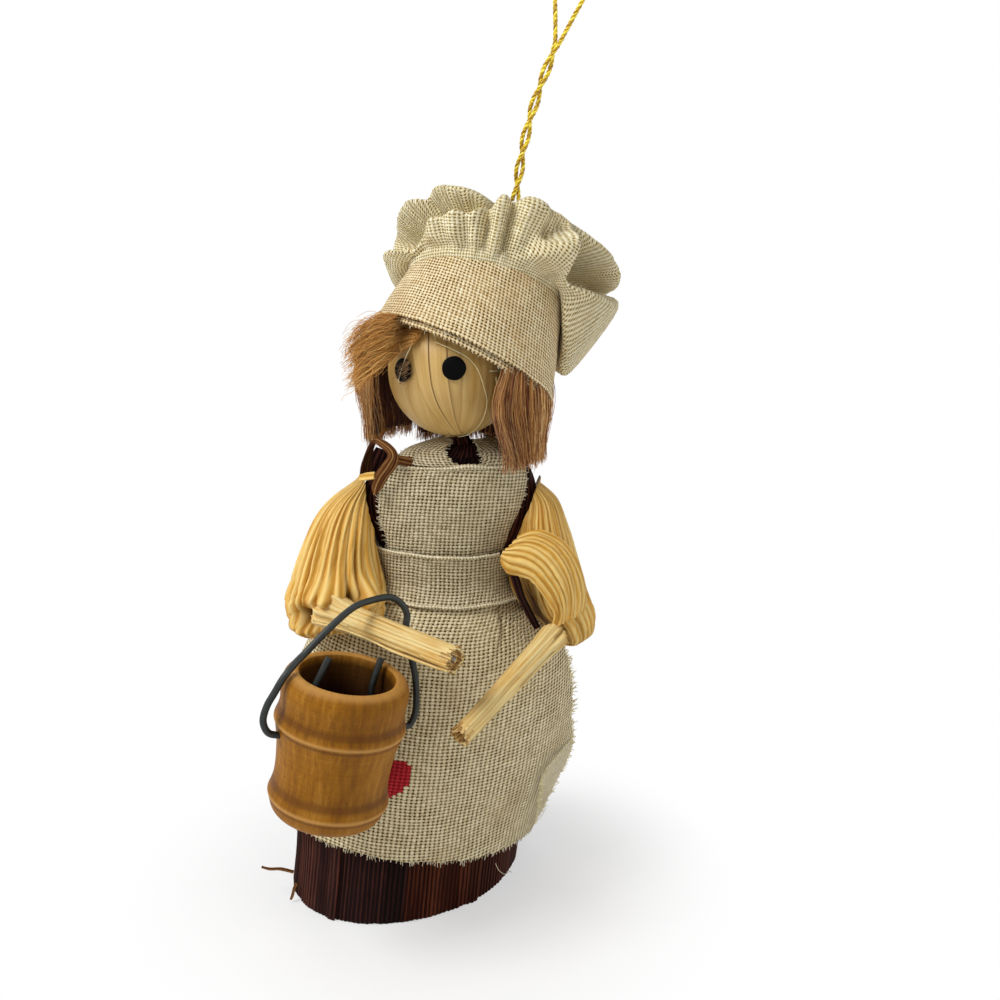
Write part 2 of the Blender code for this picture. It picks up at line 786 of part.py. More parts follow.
# A sleeve is a puff of husk. Each row is how far down it is, its shift outwards and
# forwards, and its half width and depth, as shares of the sleeve's own sizes.
right_sleeve_shares = (
    (0.00, 0.00, 0.00, 0.10, 0.21),
    (0.06, 0.08, 0.07, 0.20, 0.38),
    (0.17, 0.30, 0.14, 0.43, 0.57),
    (0.30, 0.44, 0.27, 0.60, 0.76),
    (0.49, 0.55, 0.47, 0.75, 0.89),
    (0.69, 0.60, 0.64, 0.91, 0.97),
    (0.81, 0.63, 0.74, 1.00, 1.00),
    (0.89, 0.61, 0.81, 0.98, 0.97),
    (0.96, 0.59, 0.88, 0.86, 0.86),
    (1.00, 0.58, 0.91, 0.64, 0.66),
    (0.98, 0.58, 0.92, 0.42, 0.44),
)
left_sleeve_shares = (
    (0.00, 0.00, 0.00, 0.11, 0.22),
    (0.04, 0.11, 0.04, 0.25, 0.38),
    (0.13, 0.31, 0.10, 0.42, 0.59),
    (0.25, 0.35, 0.22, 0.59, 0.76),
    (0.40, 0.38, 0.37, 0.75, 0.91),
    (0.53, 0.36, 0.49, 0.90, 0.98),
    (0.66, 0.42, 0.62, 0.98, 1.00),
    (0.78, 0.60, 0.76, 0.94, 0.93),
    (0.87, 0.85, 0.88, 0.72, 0.76),
    (0.95, 0.99, 0.97, 0.52, 0.57),
    (1.00, 1.00, 1.01, 0.26, 0.30),
)


# A place on the torso, as shares of its half width and half depth and of its height.
def on_torso(across, back, up):
    return Vector((chest_half_width * across, chest_half_depth * back, waist + torso_height * up))


right_shoulder_shares = (-0.895, -0.063, 0.765)
left_shoulder_shares = (1.695, -0.063, 0.717)
right_sleeve_top = on_torso(*right_shoulder_shares)
left_sleeve_top = on_torso(*left_shoulder_shares)
sleeve_segments = 30
sleeve_pleats = 10
sleeve_pleat_share = 0.035
scoop_bearing = -28.0
scoop_middle = 0.74
scoop_reach = 0.24
scoop_share = 0.42


def bump(value, middle, reach):
    return max(1 - ((value - middle) / reach) ** 2, 0)


# The scoop is a hollow in the front of the left sleeve, where its husk folds open.
def puff(name, top, rows, length, half_width, half_depth, side, scoop):
    rings = []
    for down, out, forward, wide, deep in rows:
        centre = top + Vector((side * out * half_width, -forward * half_depth, -down * length))
        ring = []
        for i in range(sleeve_segments):
            turn = 2 * math.pi * i / sleeve_segments
            ripple = 1 + sleeve_pleat_share * math.cos(sleeve_pleats * turn)
            facing = math.cos(turn - math.radians(scoop_bearing))
            hollow = 1 - scoop * bump(down, scoop_middle, scoop_reach) * max(facing, 0) ** 4
            x = math.sin(turn) * half_width * wide * ripple * hollow
            y = -math.cos(turn) * half_depth * deep * ripple * hollow
            ring.append(clear_of_body(centre + Vector((x, y, 0)), sleeve_offset))
        rings.append(ring)
    return loft(name, "gold_husk", rings)


right_sleeve = puff(
    "sleeve_right", right_sleeve_top, right_sleeve_shares, sleeve_length,
    sleeve_half_width, sleeve_half_depth, -1, 0,
)
left_sleeve = puff(
    "sleeve_left", left_sleeve_top, left_sleeve_shares, left_sleeve_length,
    left_sleeve_half_width, left_sleeve_half_depth, 1, scoop_share,
)

# A strip of brown husk loops up between the right sleeve and the neck.
loop_width = 0.0076
loop_height = 0.0092
loop_depth = 0.0024
loop_foot = right_sleeve_top + Vector((loop_width * 0.16, -loop_depth * 2.08, -loop_height * 0.26))
loop_shares = (
    (0.00, 0.00),
    (-0.14, 0.24),
    (-0.27, 0.48),
    (-0.20, 0.74),
    (0.03, 0.92),
    (0.26, 0.88),
    (0.42, 0.76),
)
loop_line = smooth_line(
    [loop_foot + Vector((loop_width * out, 0, loop_height * up)) for out, up in loop_shares], 3
)


def loop_point(step, back, out):
    before = loop_line[max(step - 1, 0)]
    after = loop_line[min(step + 1, len(loop_line) - 1)]
    along = (after - before).normalized()
    return loop_line[step] + along.cross(Vector((0, 1, 0))) * -out + Vector((0, -loop_depth * back, 0))


sheet("shoulder_husk", "brown_husk", range(len(loop_line)), shares(2), loop_point, 0, husk)

# Forearms are rolled husk over a wire, bent at the elbow inside the sleeve's mouth.
wrap_thickness = 0.0006
right_elbow_shares = (-0.736, -1.690, -0.798)
left_elbow_shares = (0.620, -1.588, -0.909)


def elbow_place(top, half_width, half_depth, length, elbow_shares):
    out, back, down = elbow_shares
    return top + Vector((half_width * out, half_depth * back, length * down))


right_elbow = elbow_place(
    right_sleeve_top, sleeve_half_width, sleeve_half_depth, sleeve_length, right_elbow_shares
)
left_elbow = elbow_place(
    left_sleeve_top, left_sleeve_half_width, left_sleeve_half_depth, left_sleeve_length, left_elbow_shares
)
right_hand = right_elbow + Vector((0.202, -0.171, -0.028)).normalized() * right_forearm_length
left_hand = left_elbow + Vector((-0.163, -0.168, -0.101)).normalized() * left_forearm_length


def forearm(side, elbow, hand, radius, end_radius):
    along = (hand - elbow).normalized()
    across = along.cross(Vector((0, 0, 1))).normalized()
    axis = add_axis("elbow_axis_" + side, elbow)
    length = (hand - elbow).length
    core_radius = radius - wrap_thickness - gap
    steps = shares(4)
    core_points = [elbow + along * length * step for step in steps]
    core_radii = [core_radius + (end_radius - radius) * step for step in steps]
    core = rod("forearm_core_" + side, "pale_husk", core_points, core_radii, 14, axis)
    wire_points = [elbow + along * arm_radius * 0.5, hand - along * gap]
    arm_wire = rod("arm_wire_" + side, "steel_wire", wire_points, [arm_wire_radius] * 2, 8, axis)
    bore_points = [elbow - along * gap * 2, hand + along * gap * 2]
    bore = rod("wire_bore_" + side, "steel_wire", bore_points, [arm_wire_radius + gap] * 2, 12, axis)
    cut(core, bore)
    upward = across.cross(along)

    def place(around, step, out):
        turn = math.radians(around)
        reach = radius + (end_radius - radius) * step - wrap_thickness + out
        return elbow + along * length * step + (across * math.cos(turn) + upward * math.sin(turn)) * reach

    arounds = [-52 + 350 * i / 12 for i in range(13)]
    sheet("forearm_wrap_" + side, "pale_husk", arounds, shares(3), place, 0, wrap_thickness, axis)
    return axis, along, across, upward


right_axis, right_along, right_across, right_upward = forearm(
    "right", right_elbow, right_hand, arm_radius, hand_radius
)
left_axis, left_along, left_across, left_upward = forearm(
    "left", left_elbow, left_hand, left_arm_radius, left_hand_radius
)


# The mouth is a cone that leaves the forearm room to rise.
def open_mouth(side, sleeve, elbow, along, upward, radius):
    lift = math.radians(elbow_raise / 2)
    way = along * math.cos(lift) + upward * math.sin(lift)
    reach = sleeve_half_depth * 1.6
    back = radius * 0.9
    wide = radius + elbow_play
    flare = math.tan(math.radians(elbow_raise / 2)) * reach
    points = [elbow - way * back, elbow - way * back * 0.5, elbow, elbow + way * reach]
    radii = [wide * 0.5, wide * 0.95, wide * 1.08, wide + flare]
    mouth = rod("mouth_" + side, "gold_husk", points, radii, 16)
    cut(sleeve, mouth)


open_mouth("right", right_sleeve, right_elbow, right_along, right_upward, arm_radius)
open_mouth("left", left_sleeve, left_elbow, left_along, left_upward, left_arm_radius)

# The upper arm is a husk roll inside the sleeve, from the shoulder to just behind the elbow.
shoulder_share = 0.80
shoulder_drop_share = 0.28
arm_bow_share = 0.20


def upper_arm(side, sleeve, top, elbow, along, length, half_depth):
    shoulder = top + Vector((shoulder_share * (elbow.x - top.x), 0, -shoulder_drop_share * length))
    behind = elbow - along * (upper_arm_radius + elbow_play)
    middle = shoulder.lerp(behind, 0.5) + Vector((0, arm_bow_share * half_depth, 0))
    points = smooth_line([shoulder, middle, behind], 4)
    rod("upper_arm_" + side, "pale_husk", points, [upper_arm_radius] * len(points), 10)
    first, last = points[1] - points[0], points[-1] - points[-2]
    start, end = points[0] - first.normalized() * gap, points[-1] + last.normalized() * gap
    bore_points = [start, *points[1:-1], end]
    bore_radii = [upper_arm_radius + gap] * len(bore_points)
    bore = rod("arm_bore_" + side, "pale_husk", bore_points, bore_radii, 12)
    cut(sleeve, bore)


upper_arm(
    "right", right_sleeve, right_sleeve_top, right_elbow, right_along, sleeve_length, sleeve_half_depth
)
upper_arm(
    "left", left_sleeve, left_sleeve_top, left_elbow, left_along, left_sleeve_length, left_sleeve_half_depth
)

# Bucket: a turned piece of wood whose mouth leans to the doll's left and forwards.
bucket_turn = 26.0
bucket_roll = 8.8
bucket_nod = 5.7
bail_hold = right_elbow + right_along * bail_place
hole_centre = bail_hold + Vector((-0.40, -0.74, -1.50)).normalized() * bail_drop
across_bucket = Vector((
    math.cos(math.radians(bucket_turn)) * math.cos(math.radians(bucket_roll)),
    math.sin(math.radians(bucket_turn)) * math.cos(math.radians(bucket_roll)),
    -math.sin(math.radians(bucket_roll)),
))
up_bail = (Vector((0, 0, 1)) - across_bucket * across_bucket.z).normalized()
back_bail = up_bail.cross(across_bucket)
nod = math.radians(bucket_nod)
up_bucket = up_bail * math.cos(nod) - back_bail * math.sin(nod)
back_bucket = up_bucket.cross(across_bucket)

bail_axis = add_axis("bail_axis", bail_hold, right_axis)
bucket_axis = add_axis("bucket_axis", hole_centre, bail_axis)

# How far down the side each ring is, and its radius, as shares of the bucket's height and
# radius. Each band is a shallow cove above a raised ridge.
bucket_shares = (
    (0.004, 0.74),
    (0.000, 0.80),
    (0.010, 0.88),
    (0.040, 0.94),
    (0.100, 0.965),
    (0.160, 0.955),
    (0.220, 0.945),
    (0.275, 0.965),
    (0.320, 0.995),
    (0.340, 1.000),
    (0.362, 0.980),
    (0.410, 0.952),
    (0.500, 0.907),
    (0.605, 0.882),
    (0.690, 0.873),
    (0.755, 0.880),
    (0.815, 0.910),
    (0.860, 0.930),
    (0.885, 0.915),
    (0.935, 0.870),
    (0.972, 0.810),
    (1.000, 0.700),
)
rim = hole_below_rim
foot = rim - bucket_height
outline = [
    (0, foot + bucket_floor),
    (bucket_mouth_radius * 0.90, foot + bucket_floor),
    (bucket_mouth_radius * 0.97, foot + bucket_floor * 1.5),
    (bucket_mouth_radius, rim - bucket_height * 0.30),
    (bucket_mouth_radius, rim - bucket_height * 0.03),
]
outline += [(bucket_radius * wide, rim - bucket_height * down) for down, wide in bucket_shares]
outline.append((0, foot))
bucket = turned("bucket", "bucket_wood", outline, 32)
bucket_place = Matrix((across_bucket, back_bucket, up_bucket)).transposed().to_4x4()
bucket.data.transform(bucket_place)
bucket.parent = bucket_axis

hole_reach = across_bucket * bucket_radius * 1.2
hole_points = [hole_centre - hole_reach, hole_centre + hole_reach]
bail_hole = rod("bail_hole", "bucket_wood", hole_points, [bail_radius + hole_play] * 2, 12)
cut(bucket, bail_hole)

# The bail is one bent wire. Each row is its place across the bucket, as a share of
# bail_reach, and its place up and back from the holes, as shares of bail_height.
bail_shares = (
    (-0.19, 0.57, 0.05),
    (-0.35, 0.35, 0.03),
    (-0.44, 0.16, 0.01),
    (-0.48, 0.05, 0.00),
    (-0.54, 0.00, 0.00),
    (-0.65, 0.00, 0.00),
    (-0.77, 0.00, 0.00),
    (-0.87, 0.02, 0.00),
    (-0.935, 0.08, 0.00),
    (-0.955, 0.15, -0.005),
    (-0.93, 0.25, -0.02),
    (-0.87, 0.34, -0.03),
    (-0.82, 0.42, -0.04),
    (-0.755, 0.49, -0.04),
    (-0.625, 0.565, 0.00),
    (-0.51, 0.62, 0.03),
    (-0.26, 0.80, 0.03),
    (0.05, 0.95, 0.075),
    (0.32, 1.00, 0.11),
    (0.55, 1.02, 0.11),
    (0.695, 0.97, 0.085),
    (0.76, 0.89, 0.06),
    (0.755, 0.79, 0.04),
    (0.81, 0.63, 0.01),
    (0.91, 0.465, 0.02),
    (0.965, 0.34, 0.02),
    (0.99, 0.16, 0.00),
    (0.975, 0.06, 0.00),
    (0.92, 0.00, 0.00),
    (0.80, 0.00, 0.00),
    (0.66, 0.00, 0.00),
    (0.54, 0.00, 0.00),
    (0.47, 0.05, 0.00),
    (0.41, 0.16, 0.01),
    (0.385, 0.32, 0.03),
    (0.48, 0.55, 0.05),
)
bail_line = []
for across, upwards, backwards in bail_shares:
    reach = across_bucket * across * bail_reach
    rise = (up_bail * upwards + back_bail * backwards) * bail_height
    bail_line.append(hole_centre + reach + rise)
wire("bail", "coated_wire", smooth_line(bail_line, 2), bail_radius, 2, bail_axis)
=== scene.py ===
import math
import random

import bmesh
import bpy
from mathutils import Matrix, Vector, noise


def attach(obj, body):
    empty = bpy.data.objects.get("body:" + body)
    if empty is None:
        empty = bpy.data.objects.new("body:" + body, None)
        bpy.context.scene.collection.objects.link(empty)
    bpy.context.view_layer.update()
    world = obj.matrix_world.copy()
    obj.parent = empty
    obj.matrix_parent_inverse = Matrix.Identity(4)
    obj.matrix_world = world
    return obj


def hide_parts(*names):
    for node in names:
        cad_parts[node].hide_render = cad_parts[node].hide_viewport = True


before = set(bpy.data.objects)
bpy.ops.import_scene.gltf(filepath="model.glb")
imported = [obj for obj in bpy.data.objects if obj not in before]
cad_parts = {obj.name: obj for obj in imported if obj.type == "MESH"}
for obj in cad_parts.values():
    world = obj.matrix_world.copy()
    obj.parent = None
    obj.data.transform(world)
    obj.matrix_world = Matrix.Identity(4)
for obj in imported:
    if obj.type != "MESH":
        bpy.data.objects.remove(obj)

# A corn husk doll with an apron, a puffed hat and a bucket. Metres, +Z up, apron towards -Y.
scene = bpy.context.scene
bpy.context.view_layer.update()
print("frame loaded:", len(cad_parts), "nodes")


# Value wraps one socket of a node tree, so that sums and products of values add Math nodes.
class Value:
    def __init__(self, recipe, socket):
        self.recipe = recipe
        self.socket = socket


for key, operation in (("add", "ADD"), ("sub", "SUBTRACT"), ("mul", "MULTIPLY"), ("truediv", "DIVIDE")):
    def forward(self, other, operation=operation):
        return self.recipe.calc(operation, self, other)

    def backward(self, other, operation=operation):
        return self.recipe.calc(operation, other, self)

    setattr(Value, f"__{key}__", forward)
    setattr(Value, f"__r{key}__", backward)


class Recipe:
    def __init__(self, tree):
        self.tree = tree

    def node(self, kind, settings=None, values=None, out=0):
        made = self.tree.nodes.new(kind)
        for key, setting in (settings or {}).items():
            if key == "stops":
                ramp = made.color_ramp
                while len(ramp.elements) < len(setting):
                    ramp.elements.new(1)
                for stop, (spot, colour) in zip(ramp.elements, setting):
                    stop.position = spot
                    stop.color = rgba(colour)
            else:
                setattr(made, key, setting)
        for key, value in (values or {}).items():
            if isinstance(value, Value):
                self.tree.links.new(value.socket, made.inputs[key])
            else:
                made.inputs[key].default_value = value
        return Value(self, made.outputs[out]) if made.outputs else None

    def calc(self, operation, *terms):
        return self.node("ShaderNodeMath", {"operation": operation}, dict(enumerate(terms)))

    def vector(self, x=0.0, y=0.0, z=0.0):
        return self.node("ShaderNodeCombineXYZ", None, {0: x, 1: y, 2: z})

    def parts(self, vector):
        made = self.node("ShaderNodeSeparateXYZ", None, {0: vector})
        return [Value(self, socket) for socket in made.socket.node.outputs]

    def noise(self, vector, scale=1.0, detail=2.0, rough=0.5):
        values = {"Vector": vector, "Scale": scale, "Detail": detail, "Roughness": rough}
        return self.node("ShaderNodeTexNoise", None, values)

    def grain(self, x, y, detail=2, rough=0.5):
        return self.noise(self.vector(x, y), 1, detail, rough)

    def place(self):
        return self.node("ShaderNodeTexCoord", out=3)

    def mark(self, name):
        return self.node("ShaderNodeAttribute", {"attribute_name": name}, out=2)

    def arrows(self, operation, first, second=None, scale=None):
        values = {0: first}
        if second is not None:
            values[1] = second
        if scale is not None:
            values["Scale"] = scale
        return self.node("ShaderNodeVectorMath", {"operation": operation}, values)

    def ease(self, value, low, high):
        values = {"Value": value, "From Min": low, "From Max": high}
        return self.node("ShaderNodeMapRange", {"interpolation_type": "SMOOTHSTEP"}, values)

    def blend(self, share, first, second):
        values = {0: share, 6: first, 7: second if isinstance(second, Value) else rgba(second)}
        return self.node("ShaderNodeMix", {"data_type": "RGBA"}, values, out=2)

    def ramp(self, share, *stops):
        return self.node("ShaderNodeValToRGB", {"stops": stops}, {0: share})


class Finish(Recipe):
    def __init__(self, name, values):
        self.material = bpy.data.materials.new(name)
        self.material.use_nodes = True
        super().__init__(self.material.node_tree)
        self.shader = self.tree.nodes["Principled BSDF"]
        for key, value in values.items():
            self.shader.inputs[key].default_value = value

    def feed(self, key, value):
        self.tree.links.new(value.socket, self.shader.inputs[key])

    def relief(self, height, depth, strength=1.0):
        values = {"Height": height, "Distance": depth, "Strength": strength}
        self.feed("Normal", self.node("ShaderNodeBump", None, values))

    def cloth(self):
        return self.parts(self.node("ShaderNodeUVMap", {"uv_map": "cloth"}))[:2]


def rgb(text):
    # a colour as it is seen, turned into the linear values that the nodes take
    shares = [int(text[k:k + 2], 16) / 255 for k in (0, 2, 4)]
    return tuple(s / 12.92 if s <= 0.04045 else ((s + 0.055) / 1.055) ** 2.4 for s in shares)


def rgba(text):
    return (*rgb(text), 1)


# Open plain weave: warp and weft run over and under each other, with gaps between that are painted dark.
def linenFinish(name, look):
    made = Finish(name, {"Roughness": 0.95, "Sheen Weight": 0.12, "Specular IOR Level": 0.15})
    x, y = made.cloth()
    drift = made.grain(x * 0.11, y * 0.11, 1) - 0.5
    drift2 = made.grain(x * 0.13 + 40, y * 0.13, 1) - 0.5
    u = x / look["pitch"][0] + drift * 1.1
    v = y / look["pitch"][1] + drift2 * 1.1
    warpNumber, weftNumber = made.calc("FLOOR", u), made.calc("FLOOR", v)
    warpTone = made.grain(warpNumber * 3.7, v * 0.23)
    weftTone = made.grain(u * 0.23 + 9, weftNumber * 4.3)
    warpHalf = look["thread"] + (warpTone - 0.5) * 0.22
    weftHalf = look["thread"] + (weftTone - 0.5) * 0.22
    warpSide = (made.calc("FRACT", u) - 0.5) / warpHalf
    weftSide = (made.calc("FRACT", v) - 0.5) / weftHalf
    warpRound = made.calc("MAXIMUM", 1 - warpSide * warpSide, 0)
    weftRound = made.calc("MAXIMUM", 1 - weftSide * weftSide, 0)
    warpOver = made.calc("SINE", (v + warpNumber) * math.pi)
    weftOver = made.calc("SINE", (u + weftNumber) * math.pi) * -1
    warpHeight = made.calc("SQRT", warpRound) * (0.62 + warpOver * 0.38)
    weftHeight = made.calc("SQRT", weftRound) * (0.62 + weftOver * 0.38)
    height = made.calc("MAXIMUM", warpHeight, weftHeight)
    tone = made.node(
        "ShaderNodeMix", None,
        {0: made.calc("GREATER_THAN", weftHeight, warpHeight), 2: warpTone, 3: weftTone}
    )
    fuzz = made.grain(x * 5, y * 5)
    # the thread colour follows the thread's height: painted shade where a thread dips under another, mixed
    # with each thread's own tone
    shade = made.ease(height * 0.75 + tone * 0.55 + fuzz * 0.25 - 0.35, 0.0, 0.95)
    threads = made.ramp(shade, (0.0, look["low"]), (0.5, look["mid"]), (1.0, look["high"]))
    start, end, stained = look["stain"]
    stain = made.ease(made.grain(x * 0.09 + 3, y * 0.07), start, end)
    threads = made.blend(stain * stained, threads, look["stainColour"])
    # the gaps get the dark gap colour: painted shade in the holes, along with the dark layer that shows
    # through them
    hole = 1 - made.ease(made.calc("MAXIMUM", warpRound, weftRound), 0.0, 0.45)
    closeness = made.ease(made.grain(x * 0.16, y * 0.16 + 7, 1), 0.25, 0.7)
    colour = made.blend(hole * (closeness * look["open"] + 0.25), threads, look["gap"])
    if "heart" in look:
        middle, top, size = look["heart"]
        a = ((warpNumber + 0.5) * look["pitch"][0] - middle) / size
        b = (top - (weftNumber + 0.5) * look["pitch"][1]) / size
        inner = a * a + b * b - 1
        heart = inner * inner * inner - a * a * b * b * b
        worn = made.ease(made.grain(warpNumber * 0.9, weftNumber * 1.3, 1), 0.10, 0.20)
        stitched = made.calc("LESS_THAN", heart, 0) * worn
        # the stitched thread is likewise lighter on its high points: painted shade where it dips
        thread = made.ramp(height * 0.6 + fuzz * 0.5, (0.1, "5e0008"), (0.55, "a80d18"), (1.0, "d2404a"))
        colour = made.blend(stitched, colour, thread)
    made.feed("Base Color", colour)
    made.relief(height + fuzz * 0.15, look["depth"], 0.9)
    return made.material


# Husk: parallel ribs with fine fibres along them. x is across the ribs and y along them, in mm.
def huskFinish(name, look):
    made = Finish(
        name, {"Specular IOR Level": look.get("shine", 0.28), "Sheen Weight": look.get("sheen", 0.0)}
    )
    x, y = made.cloth()
    sway = made.grain(x * 0.25, y * 0.05) - 0.5
    across = x / look["pitch"] + sway * look["sway"]
    number = made.calc("FLOOR", across)
    ribTone = made.grain(number * 5.1, y * 0.03, 1)
    rib = made.calc("SINE", across * 2 * math.pi) * 0.5 + 0.5
    fibre = made.grain(x * look["fibre"], y * look["fibre"] * 0.035, 4, 0.65)
    fine = made.grain(x * 9, y * 0.5, 3, 0.7)
    patch = made.grain(x * 0.12 + 5, y * 0.09, 3)
    shade = ribTone * 0.35 + rib * look["ribShade"] + fibre * 0.5 + patch * look["patch"] + fine * 0.12
    shade = made.ease(shade, look["range"][0], look["range"][1])
    colour = made.ramp(shade, (0.0, look["low"]), (0.45, look["mid"]), (1.0, look["high"]))
    if "red" in look:
        reddish = made.ramp(shade, *zip((0.0, 0.45, 1.0), look["red"]))
        red = made.mark("red")
        colour = made.blend(red, colour, reddish)
    # hollow darkens the colour towards the look's deep colour: painted shade in hollows, dents, slots and
    # under overlaps
    hollow = made.mark("hollow")
    colour = made.blend(hollow, colour, look.get("deep", "1a0a06"))
    fleck = made.ease(made.grain(x * 1.3 + 8, y * 0.8, 4, 0.7), 0.66, 0.74)
    colour = made.blend(fleck * look.get("flecks", 0.0), colour, look["low"])
    made.feed("Base Color", colour)
    made.feed("Roughness", look["rough"] + (fibre - 0.5) * 0.3)
    made.relief(rib * look["ribDepth"] + fibre * 0.5 + fine * 0.25, look["depth"])
    return made.material


def hairFinish(name, look):
    made = Finish(name, {"Specular IOR Level": 0.3, "Sheen Weight": 0.1})
    x, y = made.cloth()
    strand = made.mark("strand")
    streak = made.grain(x * 4.5, y * 0.12, 4, 0.65)
    shade = streak * 0.55 + strand * 0.45
    colour = made.ramp(shade, (0.2, look["low"]), (0.45, look["mid"]), (0.8, look["high"]))
    made.feed("Base Color", colour)
    made.feed("Roughness", 0.45 + streak * 0.3)
    made.relief(streak, 0.00018)
    return made.material


linen = {
    "pitch": (0.74, 0.56), "thread": 0.36, "depth": 0.00022, "open": 1.0,
    "low": "796846", "mid": "b9a982", "high": "eadfc0", "gap": "2a1c0c",
    "stain": (0.52, 0.72, 0.35), "stainColour": "b29868",
}
apronLinen = dict(
    linen, pitch=(0.82, 0.58), low="87724a", mid="cbb88a", high="f6ebca", heart=(-3.4, 31.0, 3.1)
)
hatLinen = {
    "pitch": (0.64, 0.54), "thread": 0.34, "depth": 0.00018, "open": 1.0,
    "low": "96703c", "mid": "e4c68c", "high": "fff6d8", "gap": "40260c",
    "stain": (0.50, 0.66, 0.40), "stainColour": "caa26c",
}
crownLinen = dict(
    hatLinen, pitch=(0.50, 0.50), low="ab935c", mid="e8d8a4", high="fffae2", gap="6b5027", open=0.7,
    stainColour="d8be8a",
)
# a lighter copy of the linen, with paler gaps: painted light on the rolled hems and the turned-back layer
litLinen = dict(linen, low="a8986e", mid="dfd0a6", high="fbf3da", gap="7d6a42", open=0.4)
# In the husk looks, deep is the colour of painted shade.
goldHusk = {
    "pitch": 1.0, "sway": 1.8, "fibre": 2.2, "ribShade": 0.30, "patch": 0.30, "range": (0.42, 1.04),
    "low": "a06a1a", "mid": "e2aa44", "high": "f8d684", "rough": 0.5, "ribDepth": 0.9, "depth": 0.00022,
    "flecks": 0.25, "sheen": 0.05, "deep": "56360f",
}
paleHusk = {
    "pitch": 0.7, "sway": 1.2, "fibre": 3.0, "ribShade": 0.10, "patch": 0.45, "range": (0.36, 0.94),
    "low": "8e5c18", "mid": "d0a04c", "high": "f2dc9c", "rough": 0.55, "ribDepth": 0.3, "depth": 0.00014,
    "flecks": 0.6, "sheen": 0.05, "deep": "66460f",
}
faceHusk = {
    "pitch": 0.6, "sway": 0.8, "fibre": 1.2, "ribShade": 0.03, "patch": 0.46, "range": (0.22, 1.0),
    "low": "8a6026", "mid": "ba9048", "high": "d9b878", "rough": 0.42, "ribDepth": 0.06, "depth": 0.00005,
    "flecks": 0.25, "sheen": 0.0, "deep": "6a4214",
}
darkHusk = {
    "pitch": 0.80, "sway": 0.7, "fibre": 2.6, "ribShade": 0.30, "patch": 0.25, "range": (0.38, 1.1),
    "low": "060202", "mid": "1c0a09", "high": "553028", "rough": 0.75, "shine": 0.08, "ribDepth": 0.6,
    "depth": 0.0002,
    "red": ("0c0201", "300d04", "6a3822"), "deep": "080202",
}
brownHusk = dict(darkHusk, low="2a1206", mid="6b4020", high="b08450", pitch=0.7, deep="2a0806")

finishes = {
    "fringeHair": hairFinish("hair over the brow", {"low": "8c5416", "mid": "d89844", "high": "f8cc7c"}),
    "linen": linenFinish("open linen", linen),
    "apronLinen": linenFinish("apron linen", apronLinen),
    "hatLinen": linenFinish("hat linen", hatLinen),
    "crownLinen": linenFinish("crown linen", crownLinen),
    "litLinen": linenFinish("pale linen", litLinen),
    "goldHusk": huskFinish("golden husk", goldHusk),
    "paleHusk": huskFinish("pale husk", paleHusk),
    "faceHusk": huskFinish("face husk", faceHusk),
    "darkHusk": huskFinish("dark husk", darkHusk),
    "brownHusk": huskFinish("brown husk", brownHusk),
    "hair": hairFinish("hair", {"low": "7e461a", "mid": "d89a54", "high": "ffdc9c"}),
    # hairShade is a darker copy of the hair: painted shade
    "hairShade": hairFinish("hair underneath", {"low": "32120a", "mid": "7c3e1c", "high": "b87a40"}),
}
print("cloth, husk and hair finishes made")


# A plain grain in space, between two colours.
def grainFinish(name, look, values):
    made = Finish(name, values)
    grain = made.noise(made.place(), look["scale"], 4, look["fine"])
    (start, low), (end, high) = look["stops"]
    made.feed("Base Color", made.ramp(grain, (start, low), (end, high)))
    if "rough" in look:
        made.feed("Roughness", look["rough"][0] + grain * look["rough"][1])
    made.relief(grain, look["depth"])
    return made.material


def turnedWoodFinish():
    made = Finish("turned stained wood", {"Specular IOR Level": 0.16})
    x, y = made.cloth()
    hollow = made.mark("hollow")
    inside = made.mark("inside")
    grain = made.grain(x * 1.1, y * 0.16, 4, 0.6)
    pores = made.ease(made.grain(x * 5.5, y * 0.75 + 3, 3, 0.7), 0.56, 0.68)
    bands = made.grain(x * 0.16 + 11, y * 0.05)
    lathe = made.grain(x * 0.02, y * 2.6, 3, 0.7)
    shade = made.ease(grain * 0.55 + bands * 0.5 + lathe * 0.22, 0.35, 0.95)
    colour = made.ramp(shade, (0.0, "744406"), (0.5, "98620c"), (1.0, "b88030"))
    colour = made.blend(pores * 0.5, colour, "5e340a")
    # painted shade in the grooves and coves
    colour = made.blend(hollow, colour, "5c3208")
    # the pale mark paints the ridges and the rim lighter: painted highlight
    pale = made.mark("pale")
    colour = made.blend(pale, colour, "cf9c56")
    # the inside mark paints the bucket's inner wall and floor near black: painted shade
    colour = made.blend(inside, colour, "200803")
    made.feed("Base Color", colour)
    made.feed("Roughness", 0.42 + grain * 0.25)
    made.relief(grain * 0.3 + pores * -0.4 + lathe * 0.5, 0.00009)
    return made.material


def rawWoodFinish(name, low, high):
    made = Finish(name, {"Roughness": 0.7})
    place = made.place()
    x, y, z = made.parts(place)
    grain = made.noise(made.vector(x * 1500, y * 1500, z * 110), 1, 3, 0.6)
    made.feed("Base Color", made.ramp(grain, (0.3, low), (0.7, high)))
    made.relief(grain, 0.00006)
    return made.material


def goldYarnFinish():
    made = Finish("gold yarn", {"Specular IOR Level": 0.6})
    place = made.place()
    glint = made.noise(place, 3200, 3, 0.7)
    ply = made.mark("ply")
    shade = made.ease(glint * 0.8 + ply * 0.35, 0.35, 0.85)
    made.feed("Base Color", made.ramp(shade, (0.0, "a87e0c"), (0.4, "f0cf1c"), (1.0, "fff564")))
    made.feed("Metallic", 0.1 + glint * 0.4)
    made.feed("Roughness", 0.5 - glint * 0.3)
    made.relief(glint, 0.00006)
    return made.material


